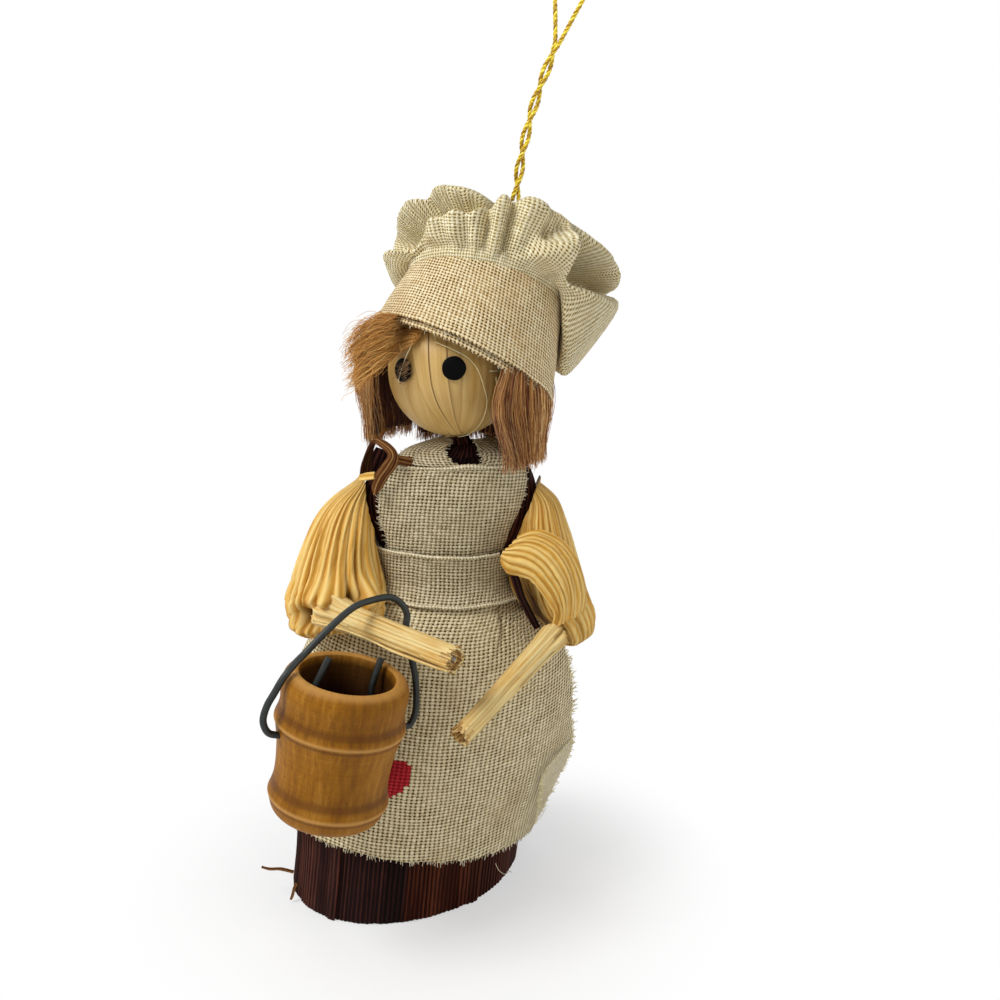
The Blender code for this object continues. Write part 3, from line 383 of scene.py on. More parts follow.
def threadFinish(name, low, high):
    made = Finish(name, {"Roughness": 0.85, "Sheen Weight": 0.1})
    place = made.place()
    strand = made.mark("strand")
    fluff = made.noise(place, 2600, 3, 0.7)
    made.feed("Base Color", made.ramp(fluff * 0.6 + strand * 0.4, (0.2, low), (0.7, high)))
    made.relief(fluff, 0.00005)
    return made.material


foamLook = {"scale": 1400, "fine": 0.7, "stops": ((0.3, "a09a86"), (0.7, "d6d0be")), "depth": 0.0003}
greenWireLook = {
    "scale": 900, "fine": 0.65, "stops": ((0.35, "080d0a"), (0.7, "1a241f")), "rough": (0.36, 0.25),
    "depth": 0.00002,
}
steelWireLook = dict(greenWireLook, stops=((0.35, "5d6064"), (0.7, "a9adb0")), rough=(0.30, 0.25))
paperLook = {
    "scale": 2500, "fine": 0.7, "stops": ((0.3, "010101"), (0.8, "050507")), "rough": (0.35, 0.3),
    "depth": 0.00003,
}
finishes.update({
    "foam": grainFinish("pressed filling", foamLook, {"Roughness": 0.95}),
    "bucketWood": turnedWoodFinish(),
    "dowel": rawWoodFinish("raw dowel", "a87a48", "d6b27c"),
    "ball": rawWoodFinish("raw ball", "b08f62", "dcc49a"),
    "coatedWire": grainFinish("dark green wire", greenWireLook, {"Metallic": 0.0, "Specular IOR Level": 0.5}),
    "steelWire": grainFinish("plain wire", steelWireLook, {"Metallic": 1.0, "Specular IOR Level": 0.5}),
    "goldYarn": goldYarnFinish(),
    "linenThread": threadFinish("linen thread", "a79468", "efe5cb"),
    # a lighter copy of the linen thread: painted light
    "litThread": threadFinish("sunlit thread", "c9b06a", "fbf2c8"),
    "darkThread": threadFinish("husk fibre", "5a3b20", "a98454"),
    "huskThread": threadFinish("torn husk", "80521c", "d8ab60"),
    "paper": grainFinish("black paper", paperLook, {"Specular IOR Level": 0.06}),
})
print("hard finishes made")


# Shapes
sharpAngle = 55


def newPiece(mesh, finish, slotName, nodes=(), body="doll"):
    if finish:
        mesh.materials.clear()
        mesh.materials.append(finishes[finish])
    piece = bpy.data.objects.new(mesh.name, mesh)
    scene.collection.objects.link(piece)
    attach(piece, body)
    if nodes:
        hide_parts(*nodes)
    return piece


def gridNormals(grid, closed):
    columns, rows = len(grid), len(grid[0])
    normals = []
    for i in range(columns):
        before = grid[(i - 1) % columns if closed else max(i - 1, 0)]
        after = grid[(i + 1) % columns if closed else min(i + 1, columns - 1)]
        line = []
        for j in range(rows):
            up = grid[i][min(j + 1, rows - 1)] - grid[i][max(j - 1, 0)]
            across = after[j] - before[j]
            line.append(across.cross(up).normalized())
        normals.append(line)
    return normals


# UVs in millimetres. Straight threads keep their pitch from the middle column outwards; others
# follow the columns, with the mean pitch.
def gridCloth(grid, straight):
    columns, rows = len(grid), len(grid[0])
    middle = columns // 2
    cloth = [[None] * rows for _ in range(columns + 1)]
    gaps = [[(grid[(i + 1) % columns][j] - grid[i][j]).length for j in range(rows)] for i in range(columns)]
    for j in range(rows):
        run = [0.0]
        for i in range(columns):
            run.append(run[-1] + (gaps[i][j] if straight else sum(gaps[i]) / rows))
        for i in range(columns + 1):
            cloth[i][j] = (run[i] - run[middle]) * 1000
    for i in range(columns + 1):
        down = 0.0
        for j in range(rows):
            down += (grid[i % columns][j] - grid[i % columns][j - 1]).length if j else 0.0
            cloth[i][j] = (cloth[i][j], down * 1000)
    return cloth


def shell(name, grid, thickness, straight=False, closed=False, marks=None):
    form = bmesh.new()
    layer = form.loops.layers.uv.new("cloth")
    tags = {key: form.verts.layers.float.new(key) for key in (marks or {})}
    normals = gridNormals(grid, closed)
    cloth = gridCloth(grid, straight)
    columns, rows = len(grid), len(grid[0])
    sides = []
    for offset in (thickness * 0.5, thickness * -0.5):
        side = []
        for i in range(columns):
            line = []
            for j in range(rows):
                vert = form.verts.new(grid[i][j] + normals[i][j] * offset)
                for key, mark in (marks or {}).items():
                    vert[tags[key]] = mark(i / (columns - 1), j / (rows - 1))
                line.append(vert)
            side.append(line)
        sides.append(side)

    def face(corners, spots):
        made = form.faces.new(corners)
        for loop, (i, j) in zip(made.loops, spots):
            loop[layer].uv = cloth[i][j]

    steps = columns if closed else columns - 1
    for i in range(steps):
        k = (i + 1) % columns
        for j in range(rows - 1):
            spots = ((i, j), (i + 1, j), (i + 1, j + 1), (i, j + 1))
            outer = sides[0]
            face((outer[i][j], outer[k][j], outer[k][j + 1], outer[i][j + 1]), spots)
            inner = sides[1]
            face((inner[i][j + 1], inner[k][j + 1], inner[k][j], inner[i][j]), spots[::-1])
        for j in (0, rows - 1):
            corners = (sides[1][i][j], sides[1][k][j], sides[0][k][j], sides[0][i][j])
            spots = ((i, j), (i + 1, j), (i + 1, j), (i, j))
            face(corners if j == 0 else corners[::-1], spots if j == 0 else spots[::-1])
    if not closed:
        for i in (0, columns - 1):
            for j in range(rows - 1):
                corners = (sides[0][i][j], sides[0][i][j + 1], sides[1][i][j + 1], sides[1][i][j])
                spots = ((i, j), (i, j + 1), (i, j + 1), (i, j))
                face(corners if i == 0 else corners[::-1], spots if i == 0 else spots[::-1])
    return toMesh(name, form)


def toMesh(name, form):
    bmesh.ops.recalc_face_normals(form, faces=form.faces)
    mesh = bpy.data.meshes.new(name)
    form.to_mesh(mesh)
    form.free()
    mesh.shade_smooth()
    mesh.set_sharp_from_angle(angle=math.radians(sharpAngle))
    return mesh


# A solid of rings, closed at both ends by a fan.
def ringSolid(name, rings, marks=None, width=None):
    form = bmesh.new()
    layer = form.loops.layers.uv.new("cloth")
    tags = {key: form.verts.layers.float.new(key) for key in (marks or {})}
    count = len(rings[0])
    loops = []
    for j, ring in enumerate(rings):
        line = []
        for i, point in enumerate(ring):
            vert = form.verts.new(point)
            for key, mark in (marks or {}).items():
                vert[tags[key]] = mark(i, j)
            line.append(vert)
        loops.append(line)
    lengths = [0.0]
    for below, above in zip(rings, rings[1:]):
        middleStep = sum(((a - b).length for a, b in zip(above, below)), 0.0) / count
        lengths.append(lengths[-1] + middleStep)
    around = [sum((ring[(i + 1) % count] - ring[i]).length for i in range(count)) for ring in rings]
    scale = (width or max(around)) * 1000 / count
    for j in range(len(loops) - 1):
        for i in range(count):
            k = (i + 1) % count
            made = form.faces.new((loops[j][i], loops[j][k], loops[j + 1][k], loops[j + 1][i]))
            spots = ((i, j), (i + 1, j), (i + 1, j + 1), (i, j + 1))
            for loop, (a, b) in zip(made.loops, spots):
                loop[layer].uv = (a * scale, lengths[b] * 1000)
    for j, ring in ((0, rings[0]), (-1, rings[-1])):
        centre = form.verts.new(sum(ring, Vector()) / count)
        for key, mark in (marks or {}).items():
            centre[tags[key]] = mark(0, j % len(rings))
        for i in range(count):
            made = form.faces.new((loops[j][i], loops[j][(i + 1) % count], centre))
            for loop, turn in zip(made.loops, (i, i + 1, i + 0.5)):
                inward = (ring[0] - ring[count // 2]).length * 500 if turn == i + 0.5 else 0
                loop[layer].uv = (turn * scale, lengths[j] * 1000 + inward)
    return toMesh(name, form)


def tubeRings(points, radii, sides):
    rings = []
    aside = (points[1] - points[0]).orthogonal().normalized()
    for i, point in enumerate(points):
        along = (points[min(i + 1, len(points) - 1)] - points[max(i - 1, 0)]).normalized()
        aside = (aside - along * aside.dot(along)).normalized()
        other = along.cross(aside)
        ways = [aside * math.cos(turn) + other * math.sin(turn) for turn in turns(sides)]
        rings.append([point + way * radii[i] for way in ways])
    return rings


def smoothLine(points, steps):
    line = []
    for i in range(len(points) - 1):
        p0, p1, p2 = points[max(i - 1, 0)], points[i], points[i + 1]
        p3 = points[min(i + 2, len(points) - 1)]
        for k in range(steps):
            t = k / steps
            pull = (p2 - p0) * t + (2 * p0 - 5 * p1 + 4 * p2 - p3) * t ** 2
            line.append(p1 + (pull + (3 * p1 - p0 - 3 * p2 + p3) * t ** 3) / 2)
    line.append(points[-1])
    return line


def ease(value, low, high):
    t = min(max((value - low) / (high - low), 0), 1)
    return t * t * (3 - 2 * t)


def wander(x, y, seed=0.0):
    return noise.noise(Vector((x, y, seed * 7.3 + 0.5)))


def lerp(a, b, t):
    return a + (b - a) * t


def hill(value, middle, width):
    return math.exp(-((value - middle) / width) ** 2)


def table(rows, spot):
    # straight steps between the (spot, value) rows
    for (a, low), (b, high) in zip(rows, rows[1:]):
        if spot <= b:
            return lerp(low, high, max(spot - a, 0) / (b - a))
    return rows[-1][1]


# A smooth sheet through guide lines: each guide is a list of points, and the guides lie side by side.
def guided(guides, across, along):
    lines = [smoothLine([Vector(point) for point in guide], along) for guide in guides]
    sheet = [smoothLine([line[j] for line in lines], across) for j in range(len(lines[0]))]
    return [[row[i] for row in sheet] for i in range(len(sheet[0]))]


def spread(count):
    return [k / count for k in range(count + 1)]


def turns(count):
    return [2 * math.pi * k / count for k in range(count)]


def gridOf(columns, rows, point):
    return [[point(across, up) for up in spread(rows)] for across in spread(columns)]


# A tree of geometry nodes whose inputs are the named sockets.
def openTree(name, kinds):
    tree = bpy.data.node_groups.new(name, "GeometryNodeTree")
    for label, kind in kinds.items():
        tree.interface.new_socket(name=label, in_out="INPUT", socket_type="NodeSocket" + kind)
    tree.interface.new_socket(name="Geometry", in_out="OUTPUT", socket_type="NodeSocketGeometry")
    made = Recipe(tree)
    given = tree.nodes.new("NodeGroupInput")
    source = {label: Value(made, given.outputs[label]) for label in kinds}
    return made, source, made.node("GeometryNodeMeshToCurve", None, {"Mesh": source["Geometry"]})


def copied(made, lines, count):
    values = {"Geometry": lines, "Amount": count}
    copies = made.node("GeometryNodeDuplicateElements", {"domain": "SPLINE"}, values)
    return copies, made.node("GeometryNodeInputIndex")


def stored(made, lines, kind, name, value):
    values = {"Geometry": lines, "Name": name, "Value": value}
    return made.node("GeometryNodeStoreNamedAttribute", {"data_type": kind, "domain": "CURVE"}, values)


def closeTree(made, source, lines, offset, radius, sides):
    moved = made.node("GeometryNodeSetPosition", None, {"Geometry": lines, "Offset": offset})
    thick = made.node("GeometryNodeSetCurveRadius", None, {"Curve": moved, "Radius": radius})
    profile = made.node("GeometryNodeCurvePrimitiveCircle", None, {"Resolution": sides, "Radius": 1.0})
    scale = made.node("GeometryNodeInputRadius")
    values = {"Curve": thick, "Profile Curve": profile, "Fill Caps": True, "Scale": scale}
    mesh = made.node("GeometryNodeCurveToMesh", None, values)
    smooth = made.node("GeometryNodeSetShadeSmooth", None, {"Geometry": mesh})
    real = made.node("GeometryNodeRealizeInstances", None, {"Geometry": smooth})
    done = made.node("GeometryNodeSetMaterial", None, {"Geometry": real, "Material": source["Finish"]})
    made.tree.links.new(done.socket, made.tree.nodes.new("NodeGroupOutput").inputs["Geometry"])
    return made.tree


# Lines of points become loose threads or hair: each line is repeated, spread and given a thickness.
def strandTree():
    made, source, lines = openTree("loose strands", {
        "Geometry": "Geometry", "Strands": "Int", "Root spread": "Float", "Tip spread": "Float",
        "Curl": "Float",
        "Curl size": "Float", "Radius": "Float", "Sides": "Int", "Finish": "Material",
    })
    copies, index = copied(made, lines, source["Strands"])
    random3 = {"Min": (-1.0, -1.0, -1.0), "Max": (1.0, 1.0, 1.0), "ID": index, "Seed": 11}
    aside = made.node("FunctionNodeRandomValue", {"data_type": "FLOAT_VECTOR"}, random3)
    marked = stored(made, copies, "FLOAT_VECTOR", "aside", aside)
    chance = made.node("FunctionNodeRandomValue", None, {"ID": index, "Seed": 23}, out=1)
    marked = stored(made, marked, "FLOAT", "strand", chance)
    way = made.node("GeometryNodeInputNamedAttribute", {"data_type": "FLOAT_VECTOR"}, {"Name": "aside"})
    along = made.node("GeometryNodeSplineParameter")
    reach = source["Root spread"] + (source["Tip spread"] - source["Root spread"]) * along
    where = made.node("GeometryNodeInputPosition")
    values = {"Vector": made.arrows("ADD", where, way), "Scale": source["Curl size"], "Detail": 1.0}
    ripple = made.arrows("SUBTRACT", made.node("ShaderNodeTexNoise", None, values, out=1), (0.5, 0.5, 0.5))
    wide = made.arrows("SCALE", way, scale=reach)
    curl = made.arrows("SCALE", ripple, scale=source["Curl"] * along * 2)
    radius = source["Radius"] * (1 - along * 0.45)
    return closeTree(made, source, marked, made.arrows("ADD", wide, curl), radius, source["Sides"])


# A line of points becomes a cord of plies that wind round it.
def cordTree():
    made, source, lines = openTree("plied cord", {
        "Geometry": "Geometry", "Plies": "Int", "Pitch": "Float", "Ply offset": "Float",
        "Ply radius": "Float",
        "Step": "Float", "Finish": "Material",
    })
    values = {"Curve": lines, "Length": source["Step"]}
    copies, index = copied(
        made, made.node("GeometryNodeResampleCurve", {"mode": "LENGTH"}, values), source["Plies"]
    )
    marked = stored(made, copies, "FLOAT", "ply", index / source["Plies"])
    ply = made.node("GeometryNodeInputNamedAttribute", {"data_type": "FLOAT"}, {"Name": "ply"})
    length = made.node("GeometryNodeSplineParameter", out=1)
    turn = (length / source["Pitch"] + ply) * 2 * math.pi
    normal = made.node("GeometryNodeInputNormal")
    other = made.arrows("CROSS_PRODUCT", made.node("GeometryNodeInputTangent"), normal)
    first = made.arrows("SCALE", normal, scale=made.calc("COSINE", turn) * source["Ply offset"])
    second = made.arrows("SCALE", other, scale=made.calc("SINE", turn) * source["Ply offset"])
    return closeTree(made, source, marked, made.arrows("ADD", first, second), source["Ply radius"], 6)


trees = {"strands": strandTree(), "cord": cordTree()}


def grow(name, tree, lines, values, finish):
    mesh = bpy.data.meshes.new(name + " lines")
    points, edges = [], []
    for line in lines:
        edges += [(len(points) + k, len(points) + k + 1) for k in range(len(line) - 1)]
        points += [tuple(point) for point in line]
    mesh.from_pydata(points, edges, [])
    carrier = bpy.data.objects.new(name + " lines", mesh)
    scene.collection.objects.link(carrier)
    step = carrier.modifiers.new("grow", "NODES")
    step.node_group = trees[tree]
    for socket in trees[tree].interface.items_tree:
        if socket.in_out == "INPUT" and socket.name in values:
            step[socket.identifier] = values[socket.name]
        elif socket.in_out == "INPUT" and socket.name == "Finish":
            step[socket.identifier] = finishes[finish]
    evaluated = carrier.evaluated_get(bpy.context.evaluated_depsgraph_get())
    grown = bpy.data.meshes.new_from_object(evaluated)
    grown.name = name
    carrier.modifiers.remove(step)
    bpy.data.objects.remove(carrier)
    for key in [a.name for a in grown.attributes if a.name == "aside"]:
        grown.attributes.remove(grown.attributes[key])
    return grown


def strands(name, lines, finish, slotName, nodes=(), body="doll", **values):
    look = {
        "Strands": 1, "Root spread": 0.0, "Tip spread": 0.0, "Curl": 0.0, "Curl size": 300.0,
        "Radius": 0.00008, "Sides": 3,
    }
    look.update(values)
    return newPiece(grow(name, "strands", lines, look, finish), None, slotName, nodes, body)


# Short threads that stand out of a torn edge. edge is a list of (point, way out, way along).
def frayLines(edge, count, reach, seed, droop=0.0, inside=0.0006):
    chance = random.Random(seed)
    lines = []
    for _ in range(count):
        spot = chance.random() * (len(edge) - 1)
        k = min(int(spot), len(edge) - 2)
        t = spot - k
        point = edge[k][0].lerp(edge[k + 1][0], t)
        out = edge[k][1].lerp(edge[k + 1][1], t).normalized()
        along = edge[k][2]
        length = reach * (0.35 + 0.65 * chance.random() ** 1.6)
        lean = chance.uniform(-0.5, 0.5)
        face = along.cross(out).normalized() * chance.uniform(-0.35, 0.35)
        line = []
        for step in range(5):
            s = step / 4
            bend = lean * s * s * length
            line.append(
                point - out * inside + out * (length + inside) * s + along * bend + face * length * s * s
                + Vector((0, 0, -droop * length * s * s))
            )
        lines.append(line)
    return lines


def gridEdge(grid, side):
    columns, rows = len(grid), len(grid[0])
    if side in ("first", "last"):
        i, k = (0, 1) if side == "first" else (columns - 1, columns - 2)
        spots = [(grid[i][j], grid[k][j]) for j in range(rows)]
    else:
        j, k = (0, 1) if side == "low" else (rows - 1, rows - 2)
        spots = [(grid[i][j], grid[i][k]) for i in range(columns)]
    edge = []
    for n, (point, inner) in enumerate(spots):
        along = (spots[min(n + 1, len(spots) - 1)][0] - spots[max(n - 1, 0)][0]).normalized()
        edge.append((point, (point - inner).normalized(), along))
    return edge


print("tools for shells, rings and strands ready")

# Camera, floor and light
# middle and focal length are in the photograph's pixels
view = {"place": (0, -0.200, 0.120), "pitch": 13.74, "yaw": 3.77, "lens": 43.2, "middle": 500, "focal": 1200}
lens = bpy.data.cameras.new("camera")
lens.lens = view["lens"]
lens.sensor_width = 36
lens.clip_start = 0.01
camera = bpy.data.objects.new("camera", lens)
camera.location = view["place"]
camera.rotation_euler = (math.radians(90 - view["pitch"]), 0, math.radians(-view["yaw"]))
scene.collection.objects.link(camera)
scene.camera = camera
scene.view_settings.view_transform = "Standard"


def shownRay(made):
    path = made.node("ShaderNodeLightPath")
    outputs = path.socket.node.outputs
    rays = [Value(made, outputs[key]) for key in ("Is Camera Ray", "Is Glossy Ray", "Is Transmission Ray")]
    return made.calc("MAXIMUM", made.calc("MAXIMUM", rays[0], rays[1]), rays[2])


def paleFloor():
    bpy.ops.mesh.primitive_circle_add(vertices=96, radius=4, fill_type="TRIFAN", location=(0, 0, -0.00002))
    floor = bpy.context.object
    floor.name = "floor"
    material = bpy.data.materials.new("pale floor")
    material.use_nodes = True
    made = Recipe(material.node_tree)
    for old in list(made.tree.nodes):
        made.tree.nodes.remove(old)
    place = made.place()
    distance = made.node("ShaderNodeVectorMath", {"operation": "LENGTH"}, {0: place}, out=1)
    lit = made.node("ShaderNodeBsdfDiffuse", None, {"Color": (0.93, 0.93, 0.93, 1)})
    white = made.node("ShaderNodeEmission", None, {"Color": (1, 1, 1, 1), "Strength": 1.0})
    share = (made.ease(distance, 0.026, 0.060) * 0.5 + 0.5) * shownRay(made)
    mixed = made.node("ShaderNodeMixShader", None, {0: share, 1: lit, 2: white})
    made.node("ShaderNodeOutputMaterial", None, {"Surface": mixed})
    floor.data.materials.append(material)


def softLight():
    world = bpy.data.worlds.new("studio")
    scene.world = world
    world.use_nodes = True
    made = Recipe(world.node_tree)
    share = shownRay(made)
    background = world.node_tree.nodes["Background"]
    background.inputs["Color"].default_value = (1, 1, 1, 1)
    world.node_tree.links.new((share * 0.61 + 0.39).socket, background.inputs["Strength"])
    lamps = (
        ("key light", (-0.40, -0.22, 0.58), 3.3, 0.28),
        ("side light", (0.55, -0.16, 0.34), 0.60, 0.40),
        ("back light", (-0.10, 0.50, 0.60), 0.60, 0.40),
    )
    for name, spot, power, size in lamps:
        lamp = bpy.data.lights.new(name, "AREA")
        lamp.energy = power
        lamp.size = size
        holder = bpy.data.objects.new(name, lamp)
        holder.location = spot
        holder.rotation_euler = (Vector((0, 0, 0.07)) - Vector(spot)).to_track_quat("-Z", "Y").to_euler()
        scene.collection.objects.link(holder)


def seen(u, v, y):
    # the point at depth y that the photograph shows at (u, v)
    across, up = (u - view["middle"]) / view["focal"], (view["middle"] - v) / view["focal"]
    ray = camera.rotation_euler.to_matrix() @ Vector((across, up, -1))
    place = Vector(view["place"])
    return place + ray * ((y - place.y) / ray.y)


def seenLines(lines):
    # lines of (u, v, depth in millimetres)
    return [[seen(u, v, y / 1000) for u, v, y in line] for line in lines]


def strip(name, edges, across, finish, slotName, thickness=0.0003, dark=0.0):
    # dark is painted shade, given to the whole strip
    marks = {"hollow": lambda share, along: dark} if dark else None
    newPiece(shell(name, guided(seenLines(edges), across, 8), thickness, marks=marks), finish, slotName)


def paint(node, finish):
    node.data.materials.clear()
    node.data.materials.append(finishes[finish])


paleFloor()
softLight()
print("camera, floor and light set")

# The body's shape: ovals from the hem to the neck, which every layer follows.
body = {
    "skirtHeight": 0.0573, "hemHalfWidth": 0.0214, "hemHalfDepth": 0.0174,
    "torsoHeight": 0.0247, "chestHalfWidth": 0.0105, "chestHalfDepth": 0.0064,
    "skirtShares": (
        (0.00, 1.00, 1.00, -0.19, 0.29, 45), (0.17, 0.99, 0.95, -0.13, 0.25, 38),
        (0.44, 1.01, 0.86, -0.03, 0.16, 22), (0.66, 0.99, 0.78, 0.03, 0.10, 12),
        (0.80, 0.92, 0.71, 0.06, 0.07, 8), (0.88, 0.78, 0.61, 0.07, 0.04, 5),
        (0.94, 0.56, 0.46, 0.11, 0.01, 2),
    ),
    "torsoShares": (
        (0.00, 0.81, 0.88, 0.30, 0.00, 0), (0.15, 0.79, 0.85, 0.32, 0.00, 0),
        (0.35, 0.93, 0.91, 0.36, 0.00, 0), (0.60, 1.10, 1.00, 0.42, 0.00, 0),
        (0.80, 1.06, 0.88, 0.50, 0.00, 0), (0.92, 0.74, 0.66, 0.62, 0.00, 0),
        (1.00, 0.26, 0.34, 0.70, 0.00, 0),
    ),
}
waist = body["skirtHeight"]
neck = waist + body["torsoHeight"]


def bodyTable():
    table = []
    for up, wide, deep, left, back, turn in body["skirtShares"]:
        across, depth = body["hemHalfWidth"], body["hemHalfDepth"]
        table.append(
            (waist * up, across * wide, depth * deep, across * left, depth * back, math.radians(turn))
        )
    for up, wide, deep, left, back, turn in body["torsoShares"]:
        across, depth = body["chestHalfWidth"], body["chestHalfDepth"]
        height = waist + body["torsoHeight"] * up
        table.append((height, across * wide, depth * deep, across * left, depth * back, math.radians(turn)))
    return table


bodyRows = bodyTable()


def slopeAt(rows, i, k):
    low, high = max(i - 1, 0), min(i + 1, len(rows) - 1)
    return (rows[high][k] - rows[low][k]) / (rows[high][0] - rows[low][0])


def smoothRow(rows, height):
    i = max(k for k in range(len(rows) - 1) if rows[k][0] <= height or k == 0)
    span = rows[i + 1][0] - rows[i][0]
    t = min(max((height - rows[i][0]) / span, 0), 1)
    row = []
    for k in range(1, len(rows[0])):
        start, end = slopeAt(rows, i, k) * span, slopeAt(rows, i + 1, k) * span
        row.append(
            (2 * t ** 3 - 3 * t ** 2 + 1) * rows[i][k] + (t ** 3 - 2 * t ** 2 + t) * start
            + (3 * t ** 2 - 2 * t ** 3) * rows[i + 1][k] + (t ** 3 - t ** 2) * end
        )
    return row


# A bearing is in degrees from the front, positive towards the doll's left.
def bodyPoint(bearing, height, offset):
    wide, deep, left, back, turn = smoothRow(bodyRows, height)
    angle = math.radians(bearing) - turn
    out = Vector((math.sin(angle) / wide, -math.cos(angle) / deep)).normalized() * offset
    x, y = wide * math.sin(angle) + out.x, -deep * math.cos(angle) + out.y
    cosTurn, sinTurn = math.cos(turn), math.sin(turn)
    return Vector((left + x * cosTurn - y * sinTurn, back + x * sinTurn + y * cosTurn, height))


# Skirt
skirt = {
    "leaves": 5, "seam": -34.0, "outer": 0.00132, "inner": 0.00052, "thickness": 0.0003, "ribs": 32,
    "ribDepth": 0.00034, "overlap": 3.5, "top": 0.0556,
    "slots": ("red_husk", "dark_husk", "dark_husk", "red_husk", "dark_husk"),
    "redness": (
        (-40, 0.1), (-7, 0.0), (3, 0.0), (4, 1.0), (28, 1.0), (50, 0.45), (120, 0.2), (180, 0.9), (250, 0.9),
        (320, 0.1)
    ),
    # darkness by bearing along the edge where the next leaf overlaps: painted shadow
    "shade": ((-60, 0.1), (-8, 0.1), (-6, 0.8), (2.4, 0.75), (3.4, 0.0), (400, 0.0)),
}


def grooveAt(across, seed):
    phase = across * skirt["ribs"] + 0.35 * wander(across * 9, 0.3, seed)
    size = 0.6 + 0.8 * abs(wander(math.floor(phase) * 1.7, 0.1, seed + 3))
    return (1 - abs(math.sin(math.pi * phase)) ** 0.6) * size


def leafGrid(start, width, offset, seed, lifted, foot):
    grid = []
    for across in spread(skirt["ribs"] * 6):
        line = []
        groove = grooveAt(across, seed)
        hem = (
            foot + 0.00035 * max(wander(across * 14, 2.2, seed), 0)
            + 0.0002 * max(wander(across * 90, 1.2, seed), 0)
        )
        for up in spread(30):
            height = lerp(hem, skirt["top"], up)
            slack = 0.00022 * wander(across * 6 + height * 20, height * 60, seed + 1)
            lap = lifted * ease(across, 0.90, 0.97)
            out = offset + lap + slack * (1 - up) - groove * skirt["ribDepth"] * (1 - 0.5 * up)
            line.append(bodyPoint(start + width * across, height, out))
        grid.append(line)
    return grid


def makeSkirt():
    share = 360 / skirt["leaves"]
    for k in range(skirt["leaves"]):
        start, width = skirt["seam"] + share * k + 0.4, share + skirt["overlap"] - 0.4
        grid = leafGrid(start, width, skirt["outer"], k + 1, 0.00042, 0.0001)
        name = f"outer_leaf_{k + 1}"

        def red(across, up):
            return table(skirt["redness"], start + width * across)

        # painted shade: darker in the rib grooves, plus the painted shadow from the shade table
        def hollow(across, up):
            groove = 0.75 * ease(grooveAt(across, k + 1), 0.25, 0.9)
            return min(groove + table(skirt["shade"], start + width * across), 0.95)

        marks = {"red": red, "hollow": hollow}
        mesh = shell(name + "_husk", grid, skirt["thickness"], marks=marks)
        newPiece(mesh, "darkHusk", skirt["slots"][k], [name])
        grid = leafGrid(skirt["seam"] + share * (k + 0.5), share + 1, skirt["inner"], k + 11, 0.0002, 0.0007)
        name = f"inner_leaf_{k + 1}"
        mesh = shell(name + "_husk", grid, skirt["thickness"])
        newPiece(mesh, "darkHusk", "dark_husk", [name])


makeSkirt()


def makeCore():
    rings = []
    for height in [0.0004] + [waist * k / 24 for k in range(1, 24)] + [waist - 0.0004]:
        slack = [0.00012 * wander(i * 0.5, height * 900) for i in range(90)]
        rings.append([bodyPoint(360 * i / 90, height, -0.0001 + slack[i]) for i in range(90)])
    newPiece(ringSolid("skirt_filling", rings), "foam", "foam", ["skirt_core"])
    rings = []
    for up in spread(20):
        height = waist + 0.0002 + body["torsoHeight"] * 0.96 * up
        rings.append(
            [bodyPoint(360 * i / 90, height, -0.0001 + 0.0001 * math.sin(i * 2.1)) for i in range(90)]
        )
    newPiece(ringSolid("torso_roll", rings, width=0.05), "darkHusk", "pale_husk", ["torso_core"])
    tie = [bodyPoint(360 * share, waist * 0.985, 0.0019) for share in spread(96)]
    values = {"Plies": 3, "Pitch": 0.0022, "Ply offset": 0.00022, "Ply radius": 0.00024, "Step": 0.0002}
    newPiece(grow("waist_thread", "cord", [tie], values, "linenThread"), None, "thread", ["waist_tie"])


makeCore()

# Bodice
bodice = {"bulge": 0.0026, "bottomShare": 0.05, "topShare": 0.90, "halfOpen": 1.5, "back": 178.5}


def makeBodice():
    low = waist + body["torsoHeight"] * bodice["bottomShare"]
    high = waist + body["torsoHeight"] * bodice["topShare"]
    for name, side in (("bodice_right", -1), ("bodice_left", 1)):
        def spot(across, up):
            bearing = side * lerp(bodice["halfOpen"], bodice["back"], across)
            room = bodice["bulge"] * (0.6 + 0.4 * min(max(4 * up - 1, 0), 1)) * min(3 * (1 - up), 1)
            bulge = room * math.sin(math.radians(bearing)) ** 10
            rib = 0.00012 * math.sin(across * 90) + 0.0001 * wander(across * 12, up * 3, side)
            if side > 0:
                bulge += 0.0024 * hill(bearing, 84, 22) * hill(up, 0.34, 0.20)
            return bodyPoint(bearing, lerp(low, high, up), 0.00055 + bulge + rib)

        grid = gridOf(90, 30, spot)
        # painted shade: darker towards the top of the bodice
        marks = {"hollow": lambda across, up: 0.9 * ease(up, 0.72, 0.86), "red": lambda across, up: 0.35}
        mesh = shell(name + "_husk", grid if side > 0 else grid[::-1], 0.00035, marks=marks)
        newPiece(mesh, "darkHusk", "dark_husk", [name])


makeBodice()
print("skirt and bodice made")

